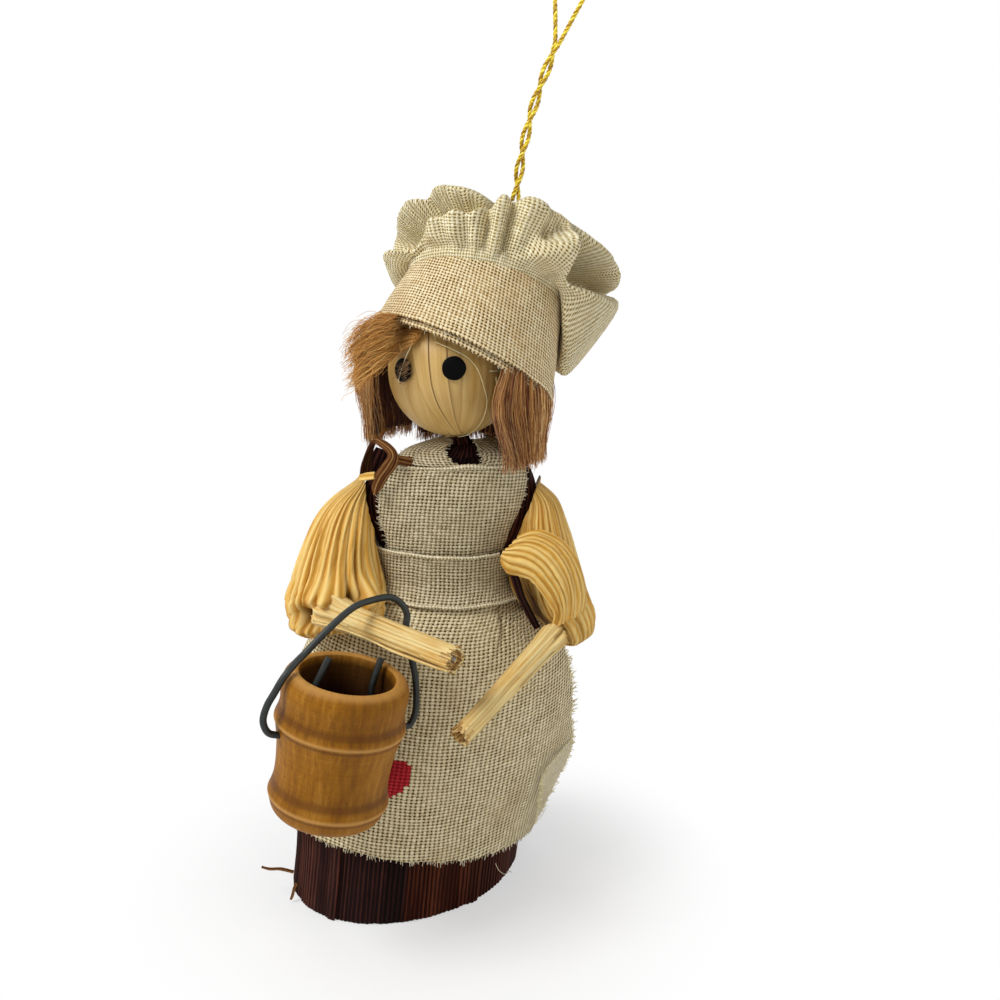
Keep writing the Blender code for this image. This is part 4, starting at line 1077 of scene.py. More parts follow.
# Apron
apron = {
    "offset": 0.0022, "thickness": 0.00042, "flare": 0.0012, "fold": 0.0007, "lift": 0.0030,
    "left": 78.0, "right": -82.0, "bottomLeft": 0.17, "bottomRight": 0.33, "folds": 3,
    "bibTurn": 2.0, "bibBearing": 64.0, "bibWaistBearing": 58.0, "bibTopDrop": 0.0040,
    "bandOffset": 0.0031, "bandHeight": 0.0082, "bandTilt": 0.0006,
    "edge": (
        (0.0, 1.0), (0.55, 1.0), (0.64, 1.035), (0.675, 0.955), (0.71, 0.905), (0.76, 0.893), (0.86, 0.915),
        (0.95, 0.95), (1.05, 0.985)
    ),
    "hem": ((0.0, 1.0), (0.28, 1.015), (0.485, 1.02), (0.71, 1.044), (0.86, 1.02), (1.1, 1.0)),
    "backEdge": ((0.0, 1.02), (0.2, 1.065), (0.4, 1.07), (0.7, 1.055), (1.0, 1.03)),
}


def apronPoint(across, up, out=0.0):
    bearing = lerp(apron["right"], apron["left"], across)
    top = waist * 0.985 - 0.0008
    bottom = waist * lerp(apron["bottomRight"], apron["bottomLeft"], across)
    height = lerp(top, bottom, up)
    below = max(up - 0.06, 0)
    flare = apron["flare"] * min(below * 1.7, 1)
    fold = apron["fold"] * up * (1 - math.cos(2 * math.pi * apron["folds"] * across)) / 2
    lift = apron["lift"] * max(across, 0) ** 5 * math.sin(math.pi * below * 0.9)
    slack = 0.00022 * below * wander(across * 7, up * 6, 4)
    crease = across - (0.81 - 0.6 * (up - 0.023))
    tuck = (
        0.0007 * hill(crease, 0.012, 0.012) + 0.0004 * ease(crease, 0.0, 0.03)
    ) * (1 - ease(up, 0.10, 0.24))
    return bodyPoint(bearing, height, apron["offset"] + out + flare + fold + lift + slack - tuck)


def makeApron():
    def spot(across, up):
        low = up * table(apron["hem"], across) + 0.010 * wander(across * 34, 1.1, 6) * up ** 6
        edge = 0.0045 * wander(up * 26, 2.1, 7) + 0.006 * wander(up * 60, 5.1, 7) * ease(up, 0.6, 0.7)
        limit = table(apron["edge"], low) + edge
        side = across + edge * (1 - ease(across, 0, 0.06))
        if across > 0.86:
            side = 0.86 + (across - 0.86) * (limit - 0.86) / 0.14
        return apronPoint(side, low)

    def backSpot(across, up):
        limit = (
            table(apron["backEdge"], up) + 0.008 * wander(up * 22, 2.7, 9) + 0.004 * wander(up * 60, 2.7, 9)
        )
        low = lerp(0.62, 1.0, up) + 0.008 * wander(across * 9, 3.7, 9) * up ** 4
        return apronPoint(lerp(0.80, limit, across), low, -0.00046)

    grid = gridOf(150, 120, spot)
    mesh = shell("apron_cloth", grid, apron["thickness"], straight=True)
    cloth = newPiece(mesh, "apronLinen", "linen", ["apron_skirt"])
    back = gridOf(40, 60, backSpot)
    # the turned-back layer takes the lit linen: painted light
    behind = newPiece(shell("apron_back_layer", back, 0.0004, straight=True), "litLinen", "linen")
    lines = frayLines(gridEdge(grid, "high"), 240, 0.0008, 3, droop=0.3)
    fringe = strands("apron_hem_threads", lines, "linenThread", "linen", Radius=0.0001, Curl=0.0003, Sides=4)
    lines = frayLines(gridEdge(grid, "last"), 460, 0.0019, 4) + frayLines(
        gridEdge(back, "last"), 300, 0.0018, 14
    )
    # these threads take the lit thread: painted light
    left = strands("apron_left_threads", lines, "litThread", "linen", Radius=0.0001, Curl=0.0005, Sides=4)
    lines = frayLines(gridEdge(grid, "first"), 200, 0.0010, 5)
    right = strands("apron_right_threads", lines, "linenThread", "linen", Radius=0.0001, Curl=0.0004, Sides=4)
    loose = (
        (43, 0.0080, 0.0046), (48, 0.0055, 0.0038), (56, 0.0028, 0.0030), (63, 0.0018, 0.0026),
        (67, 0.0006, 0.0024)
    )
    loose = [bodyPoint(*row) for row in loose]
    whisker = [apronPoint(*row) for row in ((0.97, 0.985), (1.0, 1.01), (1.04, 1.012), (1.07, 0.99))]
    stray = strands(
        "apron_loose_threads", [smoothLine(loose, 5), smoothLine(whisker, 5)], "linenThread", "linen",
        Radius=0.00009, Sides=5
    )


def bibPoint(across, up, out=0.0):
    low = waist + body["torsoHeight"] * 0.08
    high = neck - apron["bibTopDrop"]
    wide = lerp(apron["bibWaistBearing"], apron["bibBearing"], math.sin(math.pi * up * 0.62))
    return bodyPoint(apron["bibTurn"] + wide * (2 * across - 1), lerp(low, high, up), apron["offset"] + out)


def makeBib():
    def spot(across, up):
        side = across + 0.010 * wander(up * 16, 3.3, 8) * (ease(across, 0.93, 1) + ease(-across, -0.07, 0))
        return bibPoint(side, up, 0.00015 * wander(across * 5, up * 5, 9))

    grid = gridOf(90, 60, spot)
    mesh = shell("bib_cloth", grid, apron["thickness"], straight=True)
    cloth = newPiece(mesh, "linen", "linen", ["apron_bib"])
    lines = frayLines(gridEdge(grid, "last"), 70, 0.0012, 12) + frayLines(
        gridEdge(grid, "first"), 80, 0.0013, 13
    )
    lines += frayLines(
        gridEdge(grid, "first")[24:32], 14, 0.0017, 51
    ) + frayLines(gridEdge(grid, "last")[30:44], 16, 0.0016, 52)
    threads = strands("bib_threads", lines, "linenThread", "linen", Radius=0.00011, Curl=0.0004, Sides=4)
    hem = [
        bibPoint(share, 1.0, 0.0001) + Vector((0, 0, 0.0002 + 0.0003 * hill(share, 0.56, 0.10)))
        for share in spread(90)
    ]
    sizes = [0.00026 + 0.00022 * hill(k / 90, 0.56, 0.13) + 0.00004 * math.sin(k * 1.9) for k in range(91)]
    # the roll takes the lit linen: painted highlight
    roll = newPiece(ringSolid("bib_top_roll", tubeRings(hem, sizes, 12)), "litLinen", "linen")


def makeWaistband():
    grid = []
    low = waist - apron["bandHeight"] * 0.25
    for across in spread(220):
        line = []
        bearing = 183 + 354 * across
        tilt = apron["bandTilt"] * math.sin(math.radians(bearing))
        for up in spread(28):
            hem = 0.00022 * (math.exp(-((up - 0.05) / 0.05) ** 2) + math.exp(-((up - 0.95) / 0.05) ** 2))
            slack = 0.00012 * wander(across * 24, up * 3, 14)
            wave = 0.00018 * wander(across * 20, 0.5, 15)
            height = low + apron["bandHeight"] * up - tilt + wave
            line.append(bodyPoint(bearing, height, apron["bandOffset"] + hem + slack))
        grid.append(line)
    mesh = shell("waistband_cloth", grid, apron["thickness"], straight=True)
    cloth = newPiece(mesh, "linen", "linen", ["apron_waistband"])
    lines = frayLines(gridEdge(grid, "high"), 130, 0.0006, 16)
    threads = strands(
        "waistband_threads", lines, "linenThread", "linen", Radius=0.00010, Curl=0.0002, Sides=4
    )
    for label, row in (("lower", 0), ("upper", 28)):
        path = [
            column[row] + (column[row] - Vector((0.003, 0.001, column[row].z))).normalized() * 0.0002
            for column in grid
        ]
        sizes = [0.00030 + 0.00006 * wander(k * 0.35, 0.5, row) for k in range(len(path))]
        name = f"waistband_{label}_roll"
        # the rolls take the lit linen: painted highlight
        newPiece(ringSolid(name, tubeRings(path, sizes, 10)), "litLinen", "linen")


def makeStraps():
    low = neck - apron["bibTopDrop"] + 0.0005
    high = neck + 0.0002
    # bearings of the inner and the outer edge, each at the foot and at the top
    edges = {-1: ((0, 40), (64, 112)), 1: ((20, 22), (74, 118))}
    for name, side in (("apron_strap_right", -1), ("apron_strap_left", 1)):
        def spot(across, up):
            inner, outer = [lerp(foot, top, up) for foot, top in edges[side]]
            rough = 2.5 * wander(up * 9, 4.4, 17 + side) + 1.6 * wander(up * 24, 4.4, 17 + side)
            rough *= ease(across, 0.85, 1) + 1 - ease(across, 0, 0.15)
            fold = across - lerp(0.62, 0.34, up)
            crease = (
                0.0006 * ease(fold, 0.05, -0.05) * math.sin(math.pi * up) - 0.0003 * hill(fold, 0.05, 0.06)
            )
            slack = 0.0001 * wander(across * 6, up * 6, 44)
            out = lerp(apron["offset"], 0.0010, up ** 1.5) + crease + slack
            return bodyPoint(side * (lerp(inner, outer, across) + rough), lerp(low, high, up), out)

        grid = gridOf(60, 40, spot)
        grid = grid if side > 0 else grid[::-1]
        mesh = shell(name + "_cloth", grid, apron["thickness"], straight=True)
        cloth = newPiece(mesh, "linen", "linen", [name])
        lines = frayLines(gridEdge(grid, "last" if side > 0 else "first"), 40, 0.0009, 18 + side)
        lines += frayLines(gridEdge(grid, "first" if side > 0 else "last"), 34, 0.0006, 28 + side)
        threads = strands(
            name + "_threads", lines, "linenThread", "linen", Radius=0.00009, Curl=0.0003, Sides=4
        )


def makeNeckBundle():
    rings = []
    for t in spread(10):
        middle = Vector((0.0072, -0.0002, neck - 0.0045)).lerp(Vector((0.0058, -0.0008, neck + 0.0004)), t)
        reach = lerp(0.0026, 0.0019, t)
        ring = []
        for turn in turns(60):
            size = reach * (1 + 0.08 * math.sin(9 * turn + t) + 0.04 * math.sin(23 * turn))
            ring.append(middle + Vector((math.cos(turn) * size, math.sin(turn) * size, 0)))
        rings.append(ring)
    # painted shade: darker towards the bundle's foot
    marks = {"hollow": lambda i, j: 0.75 * (1 - ease(j / 10, 0.3, 0.9)), "red": lambda i, j: 0.5}
    newPiece(ringSolid("neck_bundle", rings, marks=marks, width=0.012), "darkHusk", "dark_husk")


makeApron()
makeBib()
makeWaistband()
makeStraps()
makeNeckBundle()
print("apron made")

# Head
head = {
    "ballRadius": 0.0100, "right": 0.0054, "forward": 0.0010, "turn": -25.0, "gores": 6,
    "husk": 0.0005, "gap": 0.0003, "eyeRadius": 0.0019, "eyeRise": 9.0,
}
headRadius = head["ballRadius"] + 2 * (head["husk"] + head["gap"])
headCentre = Vector((head["right"], -head["forward"], neck + headRadius))


def ballPoint(bearing, rise, radius):
    side, up = math.radians(bearing), math.radians(rise)
    out = Vector((math.sin(side) * math.cos(up), -math.cos(side) * math.cos(up), math.sin(up)))
    return headCentre + out * radius


def onHead(u, v, out):
    # where the photograph's point (u, v) meets a ball round the head
    place = Vector(view["place"])
    ray = (seen(u, v, 0) - place).normalized()
    middle = (headCentre - place).dot(ray)
    aside = (headCentre - place - ray * middle).length
    reach = head["ballRadius"] + out
    return place + ray * (middle - math.sqrt(max(reach ** 2 - aside ** 2, 0)))


def makeHead():
    width = 360 / head["gores"]
    for k in range(head["gores"]):
        start = head["turn"] + width * (k - 0.5)

        def spot(across, up):
            rise = lerp(-82, 82, up)
            seam = 0.8 + 0.2 * ease(across, 0.0, 0.03) * ease(-across, -1.0, -0.97)
            ribs = 0.00002 * math.sin(across * 56 + wander(across * 4, up * 2, k) * 3)
            dent = 0.00010 * wander(across * 3, up * 3, k + 5)
            press = 0.00014 * hill(rise, 6 - 5 * across, 1.6) if k in (0, 1) else 0
            reach = head["ballRadius"] + 0.00035 + 0.0004 * seam + ribs + dent - press
            return ballPoint(start + 0.3 + (width - 0.6) * across, rise, reach)

        grid = gridOf(56, 48, spot)
        name = f"head_husk_{k + 1}"
        mesh = shell(name + "_gore", grid, 0.0003)
        newPiece(mesh, "faceHusk", "face_husk", [name])
    seams = (
        ((412, 334), (412, 350), (415, 368), (419, 386), (426, 403), (438, 420), (452, 434)),
        ((429, 334), (429, 352), (430, 370), (433, 389), (439, 406), (448, 421), (457, 433)),
        ((447, 334), (447, 352), (448, 371), (450, 390), (453, 407), (456, 421), (461, 433)),
    )
    for name, first, last in (
        ("face_strip_right", seams[0], seams[1]), ("face_strip_left", seams[1], seams[2])
    ):
        guides = []
        for share in (0.02, 0.35, 0.68, 0.98):
            guides.append(
                [onHead(lerp(a, c, share), lerp(b, d, share), 0.0010) for (a, b), (c, d) in zip(first, last)]
            )
        grid = guided(guides, 8, 7)
        # painted shade: darker along the strips' edges, where they meet the gores
        marks = {"hollow": lambda across, up: 0.5 * (1 - ease(min(across, 1 - across), 0, 0.10))}
        mesh = shell(name + "_husk", grid, 0.00034, marks=marks)
        newPiece(mesh, "faceHusk", "face_husk", [name])
    for name, bearing, rise in (
        ("eye_left", -1.3, head["eyeRise"]), ("eye_right", -48.0, head["eyeRise"] * 0.6)
    ):
        middle = ballPoint(bearing, rise, 1) - headCentre
        across = middle.cross(Vector((0, 0, 1))).normalized()
        upward = across.cross(middle)
        surface = head["ballRadius"] + 0.0012
        rings = []
        for tilt, reach in (
            (0.55, 0), (0.94, 0), (1.0, 0.0001), (0.97, 0.00025), (0.85, 0.0003), (0.45, 0.00032)
        ):
            ring = []
            for turn in turns(40):
                spot = head["eyeRadius"] / surface * tilt * (1 + 0.012 * math.sin(turn * 5 + bearing))
                aside = (across * math.cos(turn) + upward * math.sin(turn)) * math.sin(spot)
                ring.append(headCentre + (middle * math.cos(spot) + aside) * (surface + reach))
            rings.append(ring)
        newPiece(ringSolid(name + "_disc", rings), "paper", "black", [name])
    fibres = (
        (
            (435, 342), (452, 349), (468, 358), (478, 370), (484, 387), (487, 400), (486, 410), (482, 421),
            (476, 429), (467, 435), (458, 437)
        ),
        ((490, 371), (499, 371), (508, 374), (524, 382), (537, 390)),
        ((496, 377), (498, 388), (502, 398), (506, 407)),
        ((417, 336), (408, 352), (402, 368), (398, 382)),
    )
    lines = [smoothLine([onHead(u, v, 0.0016) for u, v in fibre], 5) for fibre in fibres]
    # the fibres take the lit thread: painted light
    strands("face_fibres", lines, "litThread", "face_husk", Radius=0.00010, Sides=6)
    chance = random.Random(9)
    tuft = []
    for _ in range(34):
        u, v, lean = chance.uniform(398, 408), chance.uniform(364, 382), chance.uniform(-0.6, 0.9)
        tuft.append([onHead(u + lean * s * 4 - 4 * s, v + s * 3.4, 0.0017) for s in (-1, -0.3, 0.4, 1)])
    strands("eye_fibres", tuft, "darkThread", "face_husk", Radius=0.00006, Curl=0.0002)
    paint(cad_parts["head_ball"], "ball")
    paint(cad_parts["spine_stick"], "dowel")


makeHead()
print("head made")

# Hair
hair = {"inner": 0.0124, "thickness": 0.0028, "fall": 0.0160}
bundles = {
    "hair_left": {
        "start": 36, "width": 82, "topRise": 14, "fall": 1.00, "shorter": 0.0017, "thick": 0.78,
        "shaded": 0.22,
        "swing": lambda across: -11 * (1 - across) ** 2,
    },
    "hair_back": {
        "start": 121, "width": 84, "topRise": 30, "fall": 0.85, "shorter": 0, "thick": 0.50, "shaded": 0.5,
        "swing": lambda across: 0,
    },
    "hair_right": {
        "start": 208, "width": 60, "topRise": 40, "fall": 0.75, "shorter": 0, "thick": 0.80, "shaded": 0.08,
        "swing": lambda across: 14 * across ** 2,
    },
}


def hairPoint(bearing, drop, out):
    side = math.radians(bearing)
    lift = min(max(drop, 0) / (hair["inner"] + out), 0.98)
    reach = (hair["inner"] + out) * math.sqrt(1 - lift ** 2)
    return headCentre + Vector((math.sin(side) * reach, -math.cos(side) * reach, drop))


def makeHair():
    values = {"Strands": 6, "Root spread": 0.00025, "Tip spread": 0.0009, "Curl": 0.0008, "Curl size": 220.0}
    values["Radius"] = 0.00006
    for name, look in bundles.items():
        start, width = look["start"], look["width"]
        top = hair["inner"] * math.sin(math.radians(look["topRise"]))
        fall = hair["fall"] * look["fall"] - look["shorter"]
        deep = hair["thickness"] * look["thick"]

        def spot(across, up):
            drop = lerp(-fall + 0.0012 + 0.0006 * wander(across * 14, 0.2, start), top, up)
            out = deep * 0.50 + 0.00022 * math.sin(across * 170) + 0.0003 * wander(across * 8, up * 2, start)
            return hairPoint(start + width * across, drop, out)

        # the mat under the strands takes the shaded hair: painted shade
        newPiece(shell(name + "_mat", gridOf(70, 26, spot), deep * 0.55), "hairShade", "hair", [name])
        chance = random.Random(start)
        light, shade = [], []
        for _ in range(260):
            across, depth = chance.random(), chance.random() ** 0.6
            clump = wander(math.floor(across * 17) * 1.3, 0.4, start)
            tip = -fall + 0.0018 * chance.random() ** 2 - 0.0004 + 0.0007 * clump
            lean = chance.uniform(-3, 3) + 4 * clump
            side = look["swing"](across)
            belly = 0.0015 * depth + 0.0006 * clump
            line = []
            for t in spread(8):
                bearing = start + width * across + lean * t + side * math.sin(math.pi * min(t * 1.2, 1))
                swell = math.sin(math.pi * min(t * 1.25, 1)) ** 0.8 * belly
                out = deep * lerp(0.35, 1.0, depth) + swell + 0.0004 * t * (depth - 0.3)
                line.append(hairPoint(bearing, lerp(top, tip, t), out))
            # a share of the strands takes the shaded hair: painted shade
            (shade if chance.random() < look["shaded"] + 0.35 * max(clump, 0) else light).append(line)
        strands(name + "_strands", light, "hair", "hair", **values)
        strands(name + "_under", shade, "hairShade", "hair", **values)


makeHair()

# The fringe sweeps sideways from under the band, between an upper and a lower line of the photograph.
# A depth of 0 puts the point on the brow, and the others are metres along Y.
fringe = {
    "upper": ((424, 326), (404, 318), (384, 318), (364, 324), (350, 336)),
    "lower": ((414, 342), (399, 350), (384, 361), (368, 374), (352, 390)),
    "depths": (0.0, 0.0, -0.0088, -0.0074, -0.0060),
}


def makeFringe():
    chance = random.Random(5)
    lines, wiry = [], []
    for n in range(230):
        side, layer = chance.random(), chance.random()
        length = 0.35 + 0.65 * chance.random() ** 0.7 + 0.12 * wander(side * 9, 0.5, 8)
        spots = []
        for (a, b), (c, d), depth in zip(fringe["upper"], fringe["lower"], fringe["depths"]):
            u, v = lerp(a, c, side), lerp(b, d, side)
            share = len(spots) / 4
            u += 5 * share * wander(side * 7 + layer, 0.5, 9)
            v += 7 * share * wander(side * 6 - layer, 2.5, 10)
            onBrow = onHead(u, v, 0.0016 + 0.0006 * layer)
            spots.append(onBrow if depth == 0 else seen(u, v, depth - 0.0020 * layer - 0.001 * (1 - side)))
        full = smoothLine(spots, 6)
        line = full[:max(int(len(full) * (0.42 + 0.62 * length)), 8)]
        (wiry if n % 6 == 0 else lines).append(line)
    values = {
        "Strands": 6, "Root spread": 0.0003, "Tip spread": 0.0013, "Curl": 0.0016, "Curl size": 240.0,
        "Radius": 0.000055
    }
    strands("hair_fringe_strands", lines, "fringeHair", "hair", ["hair_fringe"], **values)
    values.update({"Strands": 1, "Curl": 0.0034, "Curl size": 420.0, "Radius": 0.00007})
    strands("hair_fringe_wires", wiry, "fringeHair", "hair", **values)


makeFringe()
print("hair made")

# Hat
hat = {
    "bandHalfWidth": 0.0164, "bandHalfDepth": 0.0154, "bandTopHalfWidth": 0.0132, "bandTopHalfDepth": 0.0122,
    "bandHeight": 0.0140, "crownReach": 0.0200, "crownHeight": 0.0155,
}


def tilted(centre, roll, pitch):
    turn = Matrix.Rotation(math.radians(roll), 4, "Y") @ Matrix.Rotation(math.radians(-pitch), 4, "X")
    return Matrix.Translation(centre) @ turn


bandCentre = headCentre + Vector((headRadius * 0.14, headRadius * 0.10, headRadius * 0.10))
bandLow = tilted(bandCentre, 27.7, 18.0)
bandHigh = tilted(
    bandCentre + tilted(Vector((0, 0, 0)), 19.5, 20.0) @ Vector((0, 0, hat["bandHeight"])), 14.2, 24.0
)


def bandPoint(turn, up, out):
    low = Vector(
        ((hat["bandHalfWidth"] + out) * math.sin(turn), -(hat["bandHalfDepth"] + out) * math.cos(turn), 0)
    )
    high = Vector(
        (
            (hat["bandTopHalfWidth"] + out) * math.sin(turn),
            -(hat["bandTopHalfDepth"] + out) * math.cos(turn), 0
        )
    )
    return (bandLow @ low).lerp(bandHigh @ high, up)


def makeBand():
    grid = []
    for i in range(240):
        turn = 2 * math.pi * (i / 240 + 0.5)
        line = []
        for up in spread(40):
            roll = 0.0002 * hill(up, 0.03, 0.03) - 0.0003 * ease(up, 0.95, 1.0)
            slack = 0.00016 * wander(math.sin(turn) * 3, math.cos(turn) * 3 + up * 3, 21)
            edge = 0.006 * wander(math.sin(turn) * 9, math.cos(turn) * 9, 22) * (1 - up) ** 8
            line.append(bandPoint(turn, up + edge, -0.0003 + roll + slack))
        grid.append(line)
    mesh = shell("band_cloth", grid, 0.00045, closed=True)
    cloth = newPiece(mesh, "hatLinen", "hat_linen", ["hat_band"])
    under = []
    for i in range(240):
        turn = 2 * math.pi * (i / 240 + 0.5)
        line = [
            bandPoint(turn, lerp(-0.075, 0.35, up) + 0.004 * wander(i * 0.2, up, 23) * (1 - up), -0.0010)
            for up in spread(14)
        ]
        under.append(line)
    lining = newPiece(shell("band_lining", under, 0.0004, closed=True), "hatLinen", "hat_linen")
    lines = frayLines(gridEdge(grid, "low"), 110, 0.0006, 24) + frayLines(
        gridEdge(under, "low"), 110, 0.0007, 25
    )
    threads = strands("band_threads", lines, "linenThread", "hat_linen", Radius=0.00009, Curl=0.0003, Sides=4)


makeBand()

# Each key is a bearing round the hat, then the crown's section there: reach and rise, in hundredths
# of the crown's sizes, from over the band to near the top. Ridges and valleys take turns.
crown = {
    "end": ((0.20, 0.80), (0.09, 0.88), (0.03, 1.02)), "columns": 420, "steps": 7,
    "keys": (
        (-172, ((70, 6), (85, 0), (95, 15), (97, 28), (95, 40), (88, 54), (74, 70), (50, 84))),
        (-150, ((67, 6), (80, 2), (90, 16), (92, 28), (89, 40), (80, 54), (66, 68), (45, 80))),
        (-132, ((70, 5), (86, -6), (97, 8), (98, 20), (95, 34), (87, 50), (72, 64), (47, 77))),
        (-112, ((70, 5), (82, -4), (93, 10), (86, 16), (88, 30), (87, 46), (70, 58), (45, 72))),
        (-94, ((68, 4), (76, 0), (90, 10), (64, 8), (56, 28), (86, 47), (68, 54), (44, 67))),
        (-78, ((66, 4), (70, 2), (78, 5), (52, 5), (46, 26), (85, 50), (68, 52), (44, 62))),
        (-66, ((64, 4), (66, 3), (69, 5), (50, 8), (46, 28), (82, 53), (68, 54), (46, 64))),
        (-56, ((65, 6), (70, 10), (74, 17), (66, 20), (52, 30), (64, 50), (76, 58), (50, 68))),
        (-48, ((66, 6), (74, 12), (79, 20), (80, 26), (62, 28), (56, 42), (82, 62), (54, 70))),
        (-40, ((63, 6), (70, 12), (76, 21), (79, 29), (66, 32), (58, 42), (80, 62), (54, 70))),
        (-32, ((67, 6), (75, 12), (80, 22), (83, 32), (68, 36), (58, 44), (76, 61), (54, 70))),
        (-25, ((61, 6), (67, 12), (73, 22), (78, 32), (66, 38), (58, 46), (72, 60), (52, 70))),
        (-19, ((66, 6), (72, 12), (76, 22), (79, 34), (72, 42), (62, 48), (62, 58), (46, 68))),
        (-13, ((59, 5), (61, 12), (63, 22), (65, 34), (66, 44), (62, 50), (52, 58), (38, 66))),
        (-6, ((69, 5), (73, 14), (76, 26), (81, 40), (86, 50), (80, 58), (64, 64), (42, 72))),
        (1, ((58, 5), (58, 14), (60, 26), (64, 40), (70, 50), (70, 57), (58, 64), (42, 72))),
        (8, ((64, 5), (69, 15), (77, 28), (86, 42), (90, 52), (84, 60), (66, 66), (44, 74))),
        (16, ((68, 4), (71, 12), (76, 25), (86, 40), (91, 51), (85, 60), (68, 66), (45, 74))),
        (23, ((70, 3), (84, 8), (84, 20), (74, 30), (82, 46), (83, 56), (68, 65), (45, 73))),
        (30, ((70, 2), (84, 4), (98, 18), (92, 30), (82, 42), (84, 55), (71, 63), (46, 72))),
        (36, ((69, 1), (80, 0), (94, 8), (98, 28), (88, 42), (84, 53), (72, 61), (47, 70))),
        (42, ((67, 0), (74, -5), (82, -6), (54, 6), (50, 26), (82, 52), (72, 58), (47, 68))),
        (56, ((67, -4), (75, -16), (96, -7), (54, 6), (48, 24), (92, 47), (74, 53), (49, 66))),
        (72, ((69, -26), (76, -50), (106, -2), (60, 6), (54, 22), (103, 40), (82, 54), (52, 76))),
        (88, ((70, -40), (80, -74), (112, 8), (90, 16), (84, 24), (109, 34), (88, 53), (54, 76))),
        (106, ((70, -34), (84, -68), (104, -10), (109, 14), (108, 26), (103, 41), (86, 58), (54, 78))),
        (128, ((70, -15), (86, -45), (100, -5), (104, 16), (103, 31), (97, 46), (82, 64), (53, 81))),
        (146, ((67, 0), (80, -12), (92, 5), (94, 20), (93, 36), (86, 50), (72, 67), (48, 82))),
        (166, ((70, 5), (86, -2), (96, 12), (98, 28), (95, 41), (88, 55), (75, 71), (51, 85))),
    ),
}


def roundTable(keys, bearing):
    # a smooth curve through the keys' rows, closed round the hat
    count = len(keys)
    spots = [key[0] for key in keys]
    k = sum(spot <= bearing for spot in spots) - 1
    picked = []
    for n in (k - 1, k, k + 1, k + 2):
        picked.append((spots[n % count] + 360 * (n // count), keys[n % count][1]))
    (x0, a), (x1, b), (x2, c), (x3, d) = [(x, [(u / 100, v / 100) for u, v in row]) for x, row in picked]
    t, span = (bearing - x1) / (x2 - x1), x2 - x1
    weights = [2 * t ** 3 - 3 * t ** 2 + 1, 3 * t ** 2 - 2 * t ** 3]
    weights += [(t ** 3 - 2 * t ** 2 + t) * span, (t ** 3 - t ** 2) * span]
    rows = []
    for before, start, end, after in zip(a, b, c, d):
        rows.append(tuple(
            weights[0] * start[n] + weights[1] * end[n] + weights[2] * (end[n] - before[n]) / (x2 - x0)
            + weights[3] * (after[n] - start[n]) / (x3 - x1) for n in range(2)
        ))
    return rows


def makeCrown():
    columns = []
    for i in range(crown["columns"]):
        bearing = -172 + 360 * i / crown["columns"]
        turn = math.radians(bearing)
        brim = math.hypot(
            math.sin(turn) * hat["bandTopHalfWidth"], math.cos(turn) * hat["bandTopHalfDepth"]
        ) / hat["crownReach"]
        folds = roundTable(crown["keys"], bearing)
        folds[0] = (max(folds[0][0], brim + 0.012), folds[0][1])
        rows = [(brim - 0.03, -0.14), (brim + 0.005, -0.03)] + folds
        back = ease(-math.cos(turn), -0.5, 0.6)
        rows += [
            (reach, lerp(rise, 0.92 + 0.10 * (0.2 - reach), back)) for reach, rise in crown["end"][:2]
        ] + [crown["end"][2]]
        line = smoothLine([Vector((reach, rise, 0)) for reach, rise in rows], crown["steps"])
        away = Vector((math.sin(turn), -math.cos(turn), 0))
        column = []
        for k, (reach, rise, _) in enumerate(line):
            t = k / (len(line) - 1)
            free = math.sin(math.pi * t)
            fine = (
                0.00045 * free * wander(away.x * 5, away.y * 5 + t * 4, 31)
                + 0.0002 * free * wander(away.x * 14, away.y * 14 + t * 9, 32)
            )
            column.append(
                bandHigh @ (
                    away * (reach * hat["crownReach"] + fine) + Vector((0, 0, rise * hat["crownHeight"]))
                )
            )
        columns.append(column)
    mesh = shell("crown_cloth", columns, 0.0004, closed=True)
    cloth = newPiece(mesh, "crownLinen", "hat_linen", ["hat_crown"])


makeCrown()
print("hat made")

# Hanging cord: one loop whose two strands twist together, on the route that the cord table gives.
cord = {
    "radius": 0.0004, "twist": 0.0110, "split": 0.0270, "eye": 0.0240, "eyeWidth": 0.0100,
    "lean": Vector((0.27, -0.05, 1)).normalized(), "bow": 0.0012, "gap": 0.0003, "points": 22,
}


def cordStrand(side):
    root = bandHigh @ Vector((hat["crownReach"] * 0.08, 0, hat["crownHeight"] * 1.035))
    helix = cord["radius"] + cord["gap"] / 2
    line = []
    for i in range(cord["points"]):
        along = cord["split"] * i / (cord["points"] - 1)
        turn = 2 * math.pi * along / cord["twist"]
        bow = cord["bow"] * math.sin(math.pi * along / cord["split"])
        aside = Vector((math.cos(turn), math.sin(turn), 0)) * helix * side
        line.append(root + cord["lean"] * along + Vector((-bow, 0, 0)) + aside)
    return line


def makeCord():
    going, coming = cordStrand(-1), cordStrand(1)
    across = (coming[-1] - going[-1]).normalized()
    eye = []
    for i in range(1, 14):
        share = i / 14
        along = cord["eye"] * math.sin(math.pi * share) ** 0.8
        width = -cord["eyeWidth"] / 2 * math.sin(2 * math.pi * share)
        eye.append(going[-1].lerp(coming[-1], share) + cord["lean"] * along + across * width)
    route = smoothLine(going + eye + coming[::-1], 3)
    values = {"Plies": 3, "Pitch": 0.0024, "Ply offset": 0.00019, "Ply radius": 0.00021, "Step": 0.00016}
    mesh = grow("gold_loop", "cord", [route], values, "goldYarn")
    piece = newPiece(mesh, None, "gold_cord", ["hanger_loop"])
    length = sum((b - a).length for a, b in zip(route, route[1:]))
    tuple(route[0])
    [tuple(p) for p in route]
    print("cord length", round(length, 4))


makeCord()

